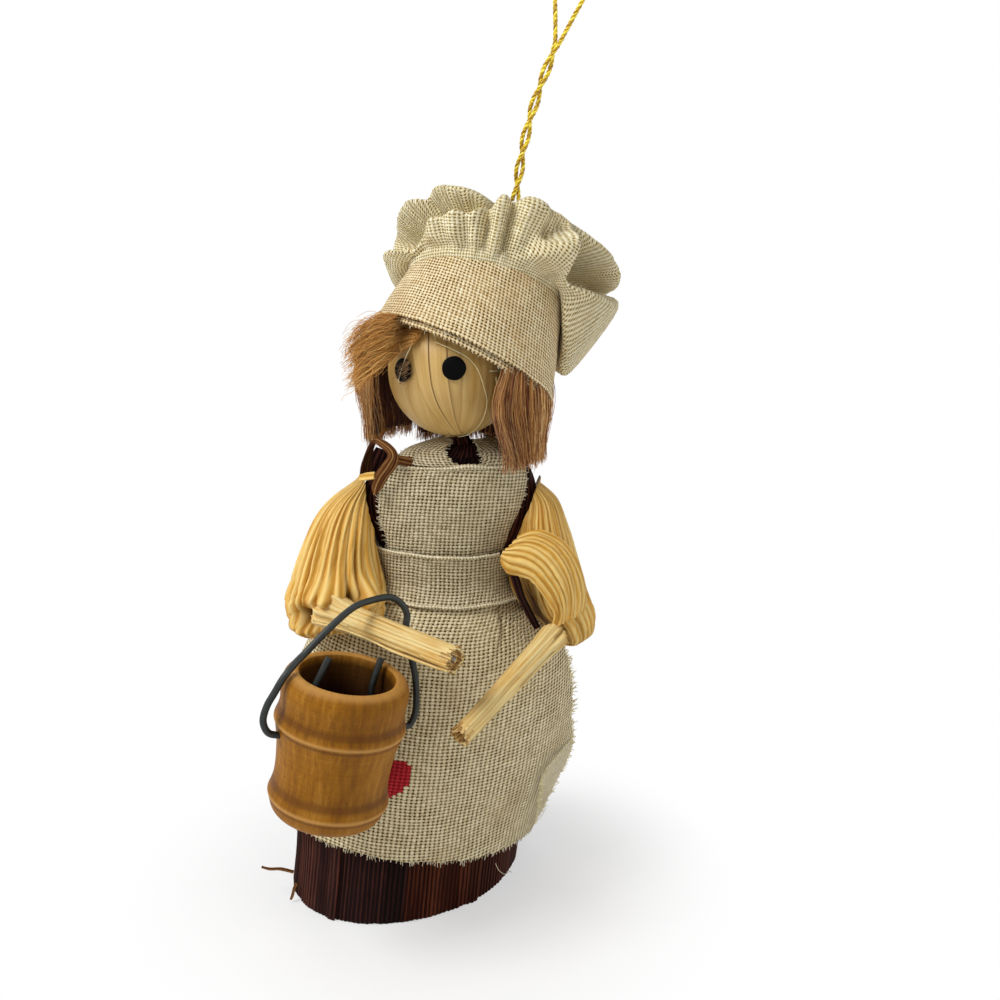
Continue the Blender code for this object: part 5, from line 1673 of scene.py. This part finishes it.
# Sleeves: each row is how far down it is, its shift outwards and forwards, and its half width
# and depth, as shares of the sleeve's own sizes.
sleeves = {
    "right": {
        "node": "sleeve_right", "halfWidth": 0.0087, "halfDepth": 0.0074, "length": 0.0248, "side": -1,
        "top": Vector((0.0105 * -0.895, 0.0064 * -0.063, 0.0573 + 0.0247 * 0.765)),
        "rows": (
            (0.00, 0.00, 0.00, 0.10, 0.21), (0.06, 0.08, 0.07, 0.20, 0.38), (0.17, 0.30, 0.14, 0.43, 0.57),
            (0.30, 0.44, 0.27, 0.60, 0.76), (0.49, 0.55, 0.47, 0.75, 0.89), (0.69, 0.60, 0.64, 0.91, 0.97),
            (0.81, 0.63, 0.74, 1.00, 1.00), (0.89, 0.61, 0.81, 0.98, 0.97), (0.96, 0.59, 0.88, 0.86, 0.86),
            (1.00, 0.58, 0.91, 0.64, 0.66), (0.98, 0.58, 0.92, 0.42, 0.44),
        ),
        "pleats": 13, "drop": (-52, 28, 0.0009),
        # turn and its width, share down and its height, change of reach, painted shade
        "dents": (
            (-6, 22, 0.715, 0.080, 0.60, 0.0), (-4, 22, 0.93, 0.07, -0.35, 0.3),
            (17, 6, 0.77, 0.10, -0.30, 0.8), (36, 13, 0.74, 0.10, 0.34, 0.0),
            (46, 24, 0.78, 0.13, 0.08, 0.0), (-36, 14, 0.865, 0.05, -0.42, 1.0),
            (-48, 26, 0.96, 0.05, 0.20, 0.0),
            (30, 5, 0.62, 0.16, -0.07, 0.2), (60, 6, 0.40, 0.2, -0.06, 0.1),
        ),
    },
    "left": {
        "node": "sleeve_left", "halfWidth": 0.0071, "halfDepth": 0.0068, "length": 0.0275, "side": 1,
        "top": Vector((0.0105 * 1.695, 0.0064 * -0.063, 0.0573 + 0.0247 * 0.717)),
        "rows": (
            (0.00, 0.00, 0.00, 0.11, 0.22), (0.04, 0.11, 0.04, 0.25, 0.38), (0.13, 0.31, 0.10, 0.42, 0.59),
            (0.25, 0.35, 0.22, 0.59, 0.76), (0.40, 0.38, 0.37, 0.75, 0.91), (0.53, 0.36, 0.49, 0.90, 0.98),
            (0.66, 0.42, 0.62, 0.98, 1.00), (0.78, 0.60, 0.76, 0.94, 0.93), (0.87, 0.85, 0.88, 0.72, 0.76),
            (0.95, 0.99, 0.97, 0.52, 0.57), (1.00, 1.00, 1.01, 0.26, 0.30),
        ),
        "pleats": 14, "drop": (60, 30, -0.0004),
        "dents": (
            (-52, 38, 0.74, 0.20, -0.44, 0.95), (60, 36, 0.86, 0.12, 0.05, 0.0),
            (-12, 14, 0.95, 0.07, -0.22, 0.3),
            (-80, 20, 0.88, 0.10, -0.2, 0.6), (28, 6, 0.9, 0.1, -0.08, 0.3),
        ),
    },
}


def clearOfBody(point, offset):
    if point.z > neck:
        return point
    wide, deep, left, back, turn = smoothRow(bodyRows, point.z)
    x, y = point.x - left, point.y - back
    cosTurn, sinTurn = math.cos(turn), math.sin(turn)
    u, v = x * cosTurn + y * sinTurn, y * cosTurn - x * sinTurn
    share = math.hypot(u / (wide + offset), v / (deep + offset))
    if share >= 1 or share == 0:
        return point
    u, v = u / share, v / share
    return Vector((left + u * cosTurn - v * sinTurn, back + u * sinTurn + v * cosTurn, point.z))


def makeSleeve(key):
    look = sleeves[key]
    count = 360
    rows = smoothLine([Vector(row[:3]) for row in look["rows"]], 10)
    sizes = smoothLine([Vector((row[3], row[4], 0)) for row in look["rows"]], 10)
    rings, dark = [], []
    for j, ((down, out, forward), size) in enumerate(zip(rows, sizes)):
        t = j / (len(rows) - 1)
        centre = look["top"] + Vector(
            (look["side"] * out * look["halfWidth"], -forward * look["halfDepth"], -down * look["length"])
        )
        swell = math.sin(math.pi * min(t * 1.15, 1))
        ring, shades = [], []
        for i in range(count):
            turn = 2 * math.pi * i / count
            degrees = (math.degrees(turn) + 180) % 360 - 180
            x, y = math.cos(turn), math.sin(turn)
            phase = turn + 0.16 * wander(x * 2, y * 2 + t * 3, 41)
            pleat = 1 - abs(math.sin(look["pleats"] * phase)) ** 0.8
            fine = math.sin(3 * look["pleats"] * phase + 2 * wander(x * 3, y * 3 + t * 4, 43))
            ripple = 1 - 0.085 * pleat * (0.35 + swell) + 0.009 * fine
            ripple += 0.03 * wander(x * 3, y * 3 + t * 6, 44) * ease(t, 0.1, 0.5)
            wrinkle = max(0.16 - abs(wander(x * 3.4 + t * 2, y * 3.4 + t * 7, 47)), 0) / 0.16
            ripple -= 0.035 * wrinkle * ease(t, 0.2, 0.6)
            # painted shade in the pleats, wrinkles and dents
            shade = 0.16 * pleat ** 2 * swell + 0.14 * wrinkle * ease(t, 0.2, 0.6)
            for at, wide, where, high, change, darkness in look["dents"]:
                force = hill(degrees, at, wide) * hill(down + (0.1 if t > 0.97 else 0), where, high)
                ripple *= 1 + change * force
                shade += darkness * force
            at, wide, drop = look["drop"]
            place = centre + Vector(
                (y * look["halfWidth"] * size.x, -x * look["halfDepth"] * size.y, 0)
            ) * ripple
            place.z -= drop * hill(degrees, at, wide) * ease(t, 0.62, 0.9)
            ring.append(clearOfBody(place, 0.0037))
            shades.append(min(shade, 1))
        rings.append(ring)
        dark.append(shades)
    name = look["node"] + "_puff"
    marks = {"hollow": lambda i, j: dark[j][i]}
    mesh = ringSolid(name, rings, width=0.034, marks=marks)
    newPiece(mesh, "goldHusk", "gold_husk", [look["node"]])


# The left sleeve's folded flap: guide lines from under its edge, over its crest and into the sleeve.
flap = {
    "guides": (
        (
            (508, 563, -10.4), (513, 569, -11.0), (522, 571, -11.4), (532, 575, -11.6), (542, 585, -11.7),
            (551, 598, -11.5), (557, 611, -11.0), (557, 623, -10.2)
        ),
        (
            (501, 562, -11.8), (506, 571, -12.4), (518, 575, -12.9), (530, 579, -13.2), (540, 590, -13.3),
            (549, 603, -13.1), (555, 615, -12.4), (552, 626, -11.4)
        ),
        (
            (502, 553, -12.2), (513, 555, -13.0), (527, 558, -13.4), (540, 566, -13.7), (551, 579, -13.9),
            (560, 594, -13.8), (564, 610, -13.2), (562, 624, -11.8)
        ),
        (
            (510, 545, -10.8), (524, 540, -10.9), (538, 542, -11.1), (552, 550, -11.5), (563, 563, -11.9),
            (571, 581, -12.2), (574, 600, -12.1), (572, 618, -11.1)
        ),
        (
            (520, 535, -7.6), (537, 529, -8.0), (553, 533, -8.5), (567, 543, -8.8), (578, 559, -9.2),
            (585, 580, -9.6), (587, 600, -9.8), (583, 620, -9.4)
        ),
    ),
}


def makeFlap():
    grid = guided(seenLines(flap["guides"]), 18, 12)
    normals = gridNormals(grid, False)
    for i, line in enumerate(grid):
        across = i / (len(grid) - 1)
        for j, point in enumerate(line):
            rib = abs(math.sin(across * 30 + 0.8 * wander(j * 0.05, across * 3, 61)))
            line[j] = point + normals[i][j] * (0.00030 * rib + 0.0001 * wander(i * 0.2, j * 0.2, 62))
    # painted shade along the flap's rolled-under edge
    marks = {"hollow": lambda across, along: 0.7 * (1 - ease(across, 0.08, 0.24))}
    newPiece(shell("sleeve_left_flap", grid, 0.0004, marks=marks), "goldHusk", "gold_husk")
    edges = (
        ((499, 551, -8.6), (509, 573, -9.2), (517, 596, -9.4), (528, 618, -9.2), (535, 629, -8.8)),
        ((508, 551, -9.2), (518, 575, -9.8), (525, 597, -10.0), (534, 615, -9.8), (540, 627, -9.2)),
    )
    strip("side_strip", edges, 12, "darkHusk", "dark_husk", dark=0.3)


makeSleeve("right")
makeSleeve("left")
makeFlap()
print("sleeves made")

# Forearms. Each husk winds from its start, in degrees, and overlaps itself.
winding = {"start": -58, "sweep": 395}
arms = {
    "right": {
        "elbow": Vector((-0.015801, -0.012909, 0.056405)), "aside": Vector(), "slim": 1.0,
        "way": Vector((0.202, -0.171, -0.028)).normalized(),
        "length": 0.02661, "radius": 0.00245, "hand": 0.0022, "seed": 1, "flare": 0.34,
        # around, its width, start and end along the arm, painted shade
        "slots": ((-36, 9, 0.70, 1.1, 0.9), (-8, 5, 0.30, 0.8, 0.35)),
    },
    "left": {
        "elbow": Vector((0.0222, -0.011202, 0.050012)), "aside": Vector((-0.0007, 0, 0.0003)), "slim": 0.93,
        "way": Vector((-0.163, -0.168, -0.101)).normalized(),
        "length": 0.02549, "radius": 0.0023, "hand": 0.0018, "seed": 5, "flare": 0.10,
        "slots": ((196, 8, 0.17, 0.50, 1.0), (205, 8, 0.62, 1.0, 1.0), (150, 12, -0.1, 0.10, 0.7)),
    },
}


def makeForearm(side):
    look = arms[side]
    across = look["way"].cross(Vector((0, 0, 1))).normalized()
    upward = across.cross(look["way"])
    bodyName = "forearm_" + side
    grid = []
    for turnShare in spread(96):
        degrees = winding["start"] + winding["sweep"] * turnShare
        turn = math.radians(degrees)
        line = []
        for t in spread(90):
            lap = 0.00034 * turnShare + 0.00045 * ease(turnShare, 0.93, 1.0) * (
                0.6 + wander(t * 4, 0.5, look["seed"])
            )
            slot = sum(
                hill(degrees, at, wide) * ease(t, start - 0.03, start + 0.01) * (
                    1 - ease(t, stop - 0.01, stop + 0.03)
                )
                for at,
                wide, start, stop, _ in look["slots"]
            )
            flat = 0.00016 * math.cos(4 * turn + look["seed"]) + 0.00014 * wander(
                math.cos(turn) * 3, t * 2 + math.sin(turn) * 3, look["seed"]
            )
            rib = 0.00005 * math.sin(26 * turn + look["seed"])
            pleats = 0.00018 * math.sin(11 * turn) * (1 - ease(t, 0.06, 0.30))
            end = (1 - 0.05 * ease(t, 0.96, 1)) * (
                1 + look["flare"] * (1 - ease(t, 0.02, 0.30))
            ) * (1 - 0.35 * (1 - ease(t, 0, 0.05)))
            reach = (
                lerp(look["radius"], look["hand"], t) - 0.00042 + lap + flat + rib + pleats - 0.00045 * slot
            ) * end * look["slim"]
            torn = (
                0.018 * wander(turnShare * 14, 0.5, look["seed"] + 3)
                + 0.010 * wander(turnShare * 40, 0.5, look["seed"])
            ) * ease(t, 0.88, 1)
            step = look["length"] * min(lerp(-0.05, 1, t) + torn, 1.01)
            line.append(
                look["elbow"] + look["aside"] + look["way"] * step
                + (across * math.cos(turn) + upward * math.sin(turn)) * reach
            )
        grid.append(line)
    name = "forearm_wrap_" + side

    # painted shade in the wrap's slots
    def slotShade(turnShare, t):
        degrees = winding["start"] + winding["sweep"] * turnShare
        shade = 0.0
        for at, wide, start, stop, dark in look["slots"]:
            shade += (
                dark * hill(degrees, at, wide * 0.8) * ease(t, start - 0.02, start + 0.01)
                * (1 - ease(t, stop - 0.01, stop + 0.02))
            )
        return min(shade, 1)

    mesh = shell(name + "_husk", grid, 0.00032, marks={"hollow": slotShade})
    newPiece(mesh, "paleHusk", "pale_husk", [name], body=bodyName)
    chance = random.Random(look["seed"])
    ends = []
    for _ in range(130):
        turn, reach = chance.uniform(0, 2 * math.pi), look["hand"] * math.sqrt(chance.random()) * 0.92
        aside = across * math.cos(turn) + upward * math.sin(turn)
        root = look["elbow"] + look["aside"] + look["way"] * look["length"] * 0.94 + aside * reach
        tip = root + look["way"] * (0.0013 + 0.0007 * chance.random()) + aside * 0.0002
        ends.append([root, root + look["way"] * 0.0008, tip])
    strands(
        "hand_fibres_" + side, ends, "huskThread", "pale_husk", body=bodyName, Radius=0.00014, Curl=0.0003,
        Sides=4
    )
    rings = []
    core = look["radius"] - 0.0011
    for t in [0.02, 0.04] + [k / 12 for k in range(1, 12)] + [0.965, 0.985]:
        ring = []
        for turn in turns(60):
            spiral = 0.00008 * math.sin(9 * turn)
            reach = (core + (look["hand"] - look["radius"]) * t + spiral) * (0.6 if t == 0.02 else 1)
            ring.append(
                look["elbow"] + look["way"] * look["length"] * t
                + (across * math.cos(turn) + upward * math.sin(turn)) * reach
            )
        rings.append(ring)
    name = "forearm_core_" + side
    newPiece(ringSolid(name + "_roll", rings, width=0.009), "paleHusk", "pale_husk", [name], body=bodyName)
    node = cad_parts["arm_wire_" + side]
    node.data.materials.clear()
    node.data.materials.append(finishes["steelWire"])


makeForearm("right")
makeForearm("left")


def makeUpperArm(side):
    look, arm = sleeves[side], arms[side]
    shoulder = look["top"] + Vector((0.80 * (arm["elbow"].x - look["top"].x), 0, -0.28 * look["length"]))
    behind = arm["elbow"] - arm["way"] * 0.0017
    middle = shoulder.lerp(behind, 0.5) + Vector((0, 0.20 * look["halfDepth"], 0))
    points = smoothLine([shoulder, middle, behind], 12)
    rings = tubeRings(points, [0.00105] * len(points), 24)
    name = "upper_arm_" + side
    newPiece(ringSolid(name + "_roll", rings), "paleHusk", "pale_husk", [name])


makeUpperArm("right")
makeUpperArm("left")
print("arms made")

# Shoulder loop and hem slivers. The loop's strip goes up in front, over, and down behind.
loop = {
    "leftEdge": (
        (374, 493, -6.6), (372, 486, -7.2), (375, 475, -7.8), (382, 464, -8.2), (388, 455, -8.0),
        (380, 447, -7.4),
        (373, 444, -6.6), (366, 456, -6.2), (362, 468, -6.0), (361, 480, -5.8),
    ),
    "rightEdge": (
        (377, 493, -6.8), (382, 487, -7.0), (389, 475, -7.2), (397, 464, -7.2), (396, 453, -6.8),
        (386, 443, -6.2),
        (377, 443, -5.2), (373, 456, -4.6), (371, 468, -4.4), (370, 480, -4.4),
    ),
}


def makeLoop():
    grid = guided(seenLines([loop["leftEdge"], loop["rightEdge"]]), 30, 8)
    normals = gridNormals(grid, False)
    for i, line in enumerate(grid):
        for j, point in enumerate(line):
            rib = abs(math.sin(i * 0.72 + 0.3 * math.sin(j * 0.2)))
            line[j] = point + normals[i][j] * (
                0.00022 * rib + 0.0004 * math.sin(math.pi * i / (len(grid) - 1))
            )
    # painted shade on the part of the strip that goes down behind
    marks = {"hollow": lambda across, along: 0.75 * ease(along, 0.60, 0.68)}
    mesh = shell("shoulder_loop", grid, 0.00022, marks=marks)
    newPiece(mesh, "brownHusk", "brown_husk", ["shoulder_husk"])
    lining = (
        ((364, 478, -4.0), (369, 460, -3.8), (376, 447, -3.6)),
        ((379, 482, -3.6), (388, 466, -3.6), (391, 452, -3.6))
    )
    tail = (
        ((395, 454, -6.6), (403, 456, -6.0), (412, 457, -5.2)),
        ((394, 464, -6.8), (402, 465, -6.4), (411, 468, -5.6))
    )
    clip = (
        ((360, 475, -6.0), (367, 473, -7.0), (375, 472, -7.8)),
        ((360, 481, -6.6), (367, 480, -7.6), (374, 479, -8.2))
    )
    strip("shoulder_lining", lining, 16, "darkHusk", "dark_husk")
    strip("shoulder_tail", tail, 12, "brownHusk", "brown_husk")
    strip("shoulder_clip", clip, 12, "goldHusk", "gold_husk", thickness=0.0004)


makeLoop()


slivers = {"length": 0.0056, "height": 0.0046, "out": 0.0011 + 0.0008 + 0.00035, "radius": 0.00034}


def makeSlivers():
    length, height = slivers["length"], slivers["height"]
    root = bodyPoint(-66, height, slivers["out"])
    tip = root + Vector((-length, 0, length * 0.22))
    short = bodyPoint(-60, height * 0.75, slivers["out"])
    end = short + Vector((-length * 0.2, -length * 0.1, -length * 0.5))
    for name, a, b, node in (
        ("long_sliver", root, tip, "husk_sliver_long"), ("short_sliver", short, end, "husk_sliver_short")
    ):
        points = smoothLine(
            [a, a.lerp(b, 0.4) + Vector((0, 0, 0.0002)), a.lerp(b, 0.75) - Vector((0, 0, 0.00015)), b], 6
        )
        radii = [
            slivers["radius"] * (1 - 0.35 * k / (len(points) - 1)) * (1 + 0.15 * wander(k * 0.9, 1, 6))
            for k in range(len(points))
        ]
        newPiece(ringSolid(name, tubeRings(points, radii, 12)), "brownHusk", "brown_husk", [node])


makeSlivers()

# Bucket
bucket = {
    "radius": 0.0103, "mouth": 0.00725, "height": 0.0240, "floor": 0.0030, "holeBelowRim": 0.00975,
    "turn": 26.0, "roll": 8.8, "nod": 5.7,
    "shares": (
        (0.030, 0.715), (0.010, 0.735), (0.000, 0.775), (0.003, 0.830), (0.020, 0.895), (0.050, 0.940),
        (0.100, 0.962),
        (0.160, 0.955), (0.220, 0.945), (0.270, 0.962), (0.310, 0.990), (0.328, 1.000), (0.340, 1.000),
        (0.352, 0.985),
        (0.380, 0.965), (0.430, 0.940), (0.500, 0.907), (0.605, 0.882), (0.690, 0.873), (0.755, 0.880),
        (0.815, 0.907),
        (0.848, 0.930), (0.862, 0.932), (0.878, 0.918), (0.910, 0.892), (0.945, 0.862), (0.975, 0.810),
        (0.992, 0.750), (1.000, 0.680),
    ),
    # grooves and ridges only colour the bucket: painted shade in the grooves and coves, painted highlight on
    # the ridges and the rim
    "grooves": (
        (0.365, 0.014, 0.6), (0.89, 0.014, 0.6), (0.22, 0.085, 0.25), (0.745, 0.085, 0.25),
        (0.262, 0.026, 0.7), (0.775, 0.026, 0.7)
    ),
    "ridges": ((0.334, 0.012, 0.7), (0.860, 0.012, 0.7), (0.004, 0.02, 0.6)),
}
bailHold = arms["right"]["elbow"] + arms["right"]["way"] * 0.0080
holeCentre = bailHold + Vector((-0.40, -0.74, -1.50)).normalized() * 0.01714
cosTurn, sinTurn = math.cos(math.radians(bucket["turn"])), math.sin(math.radians(bucket["turn"]))
cosRoll, sinRoll = math.cos(math.radians(bucket["roll"])), math.sin(math.radians(bucket["roll"]))
acrossBucket = Vector((cosTurn * cosRoll, sinTurn * cosRoll, -sinRoll))
upBail = (Vector((0, 0, 1)) - acrossBucket * acrossBucket.z).normalized()
backBail = upBail.cross(acrossBucket)
nod = math.radians(bucket["nod"])
upBucket = upBail * math.cos(nod) - backBail * math.sin(nod)
backBucket = upBucket.cross(acrossBucket)


def makeBucket():
    rim = bucket["holeBelowRim"]
    foot = rim - bucket["height"]
    # outline rows: radius, height, painted shade, painted shade inside the bucket, painted highlight
    outline = [
        (0.0008, foot + bucket["floor"], 0.0, 1.0), (bucket["mouth"] * 0.90, foot + bucket["floor"], 0.0, 1.0)
    ]
    outline += [
        (bucket["mouth"] * 0.97, foot + bucket["floor"] * 1.5, 0.0, 1.0),
        (bucket["mouth"], rim - bucket["height"] * 0.30, 0.0, 1.0)
    ]
    outline += [(bucket["mouth"], rim - bucket["height"] * 0.07, 0.0, 0.8)]
    outer = [Vector((wide, down, 0)) for down, wide in bucket["shares"]]
    for point in smoothLine(outer, 4):
        wide, down = point.x, point.y
        dark = sum(deep * hill(down, spot, reach) for spot, reach, deep in bucket["grooves"])
        inner = 0.5 * ease(-wide, -0.74, -0.70) if down < 0.05 else 0.0
        pale = 0
        if inner < 0.1:
            pale = sum(light * hill(down, spot, reach) for spot, reach, light in bucket["ridges"])
        outline.append((bucket["radius"] * wide, rim - bucket["height"] * down, min(dark, 0.7), inner, pale))
    outline.append((0.0008, foot, 0.0, 0.0))
    outline = [row if len(row) == 5 else row + (0.0,) for row in outline]
    rings = []
    place = Matrix((acrossBucket, backBucket, upBucket)).transposed()
    for radius, height, *_ in outline:
        spots = [Vector((radius * math.cos(turn), radius * math.sin(turn), height)) for turn in turns(160)]
        rings.append([holeCentre + place @ spot for spot in spots])
    marks = {
        "hollow": lambda i, j: outline[j][2],
        "inside": lambda i, j: outline[j][3],
        "pale": lambda i, j: outline[j][4],
    }
    mesh = ringSolid("bucket_turned", rings, marks=marks)
    newPiece(mesh, "bucketWood", "bucket_wood", ["bucket"], body="bucket")


makeBucket()

bail = {
    "reach": 0.0132, "height": 0.0204, "radius": 0.00055,
    "shares": (
        (-0.19, 0.57, 0.05), (-0.35, 0.35, 0.03), (-0.44, 0.16, 0.01), (-0.48, 0.05, 0.00),
        (-0.54, 0.00, 0.00),
        (-0.65, 0.00, 0.00), (-0.77, 0.00, 0.00), (-0.87, 0.02, 0.00), (-0.935, 0.08, 0.00),
        (-0.955, 0.15, -0.005),
        (-0.93, 0.25, -0.02), (-0.87, 0.34, -0.03), (-0.82, 0.42, -0.04), (-0.755, 0.49, -0.04),
        (-0.625, 0.565, 0.00),
        (-0.51, 0.62, 0.03), (-0.26, 0.80, 0.03), (0.05, 0.95, 0.075), (0.32, 1.00, 0.11), (0.55, 1.02, 0.11),
        (0.695, 0.97, 0.085), (0.76, 0.89, 0.06), (0.755, 0.79, 0.04), (0.81, 0.63, 0.01),
        (0.91, 0.465, 0.02),
        (0.965, 0.34, 0.02), (0.99, 0.16, 0.00), (0.975, 0.06, 0.00), (0.92, 0.00, 0.00), (0.80, 0.00, 0.00),
        (0.66, 0.00, 0.00), (0.54, 0.00, 0.00), (0.47, 0.05, 0.00), (0.41, 0.16, 0.01), (0.385, 0.32, 0.03),
        (0.48, 0.55, 0.05),
    ),
}


def makeBail():
    line = []
    for across, upwards, backwards in bail["shares"]:
        line.append(
            holeCentre + acrossBucket * across * bail["reach"]
            + (upBail * upwards + backBail * backwards) * bail["height"]
        )
    points = smoothLine(line, 6)
    radii = [bail["radius"]] * len(points)
    mesh = ringSolid("bail_wire", tubeRings(points, radii, 18))
    newPiece(mesh, "coatedWire", "coated_wire", ["bail"], body="bail")


makeBail()
print("bucket and bail made")
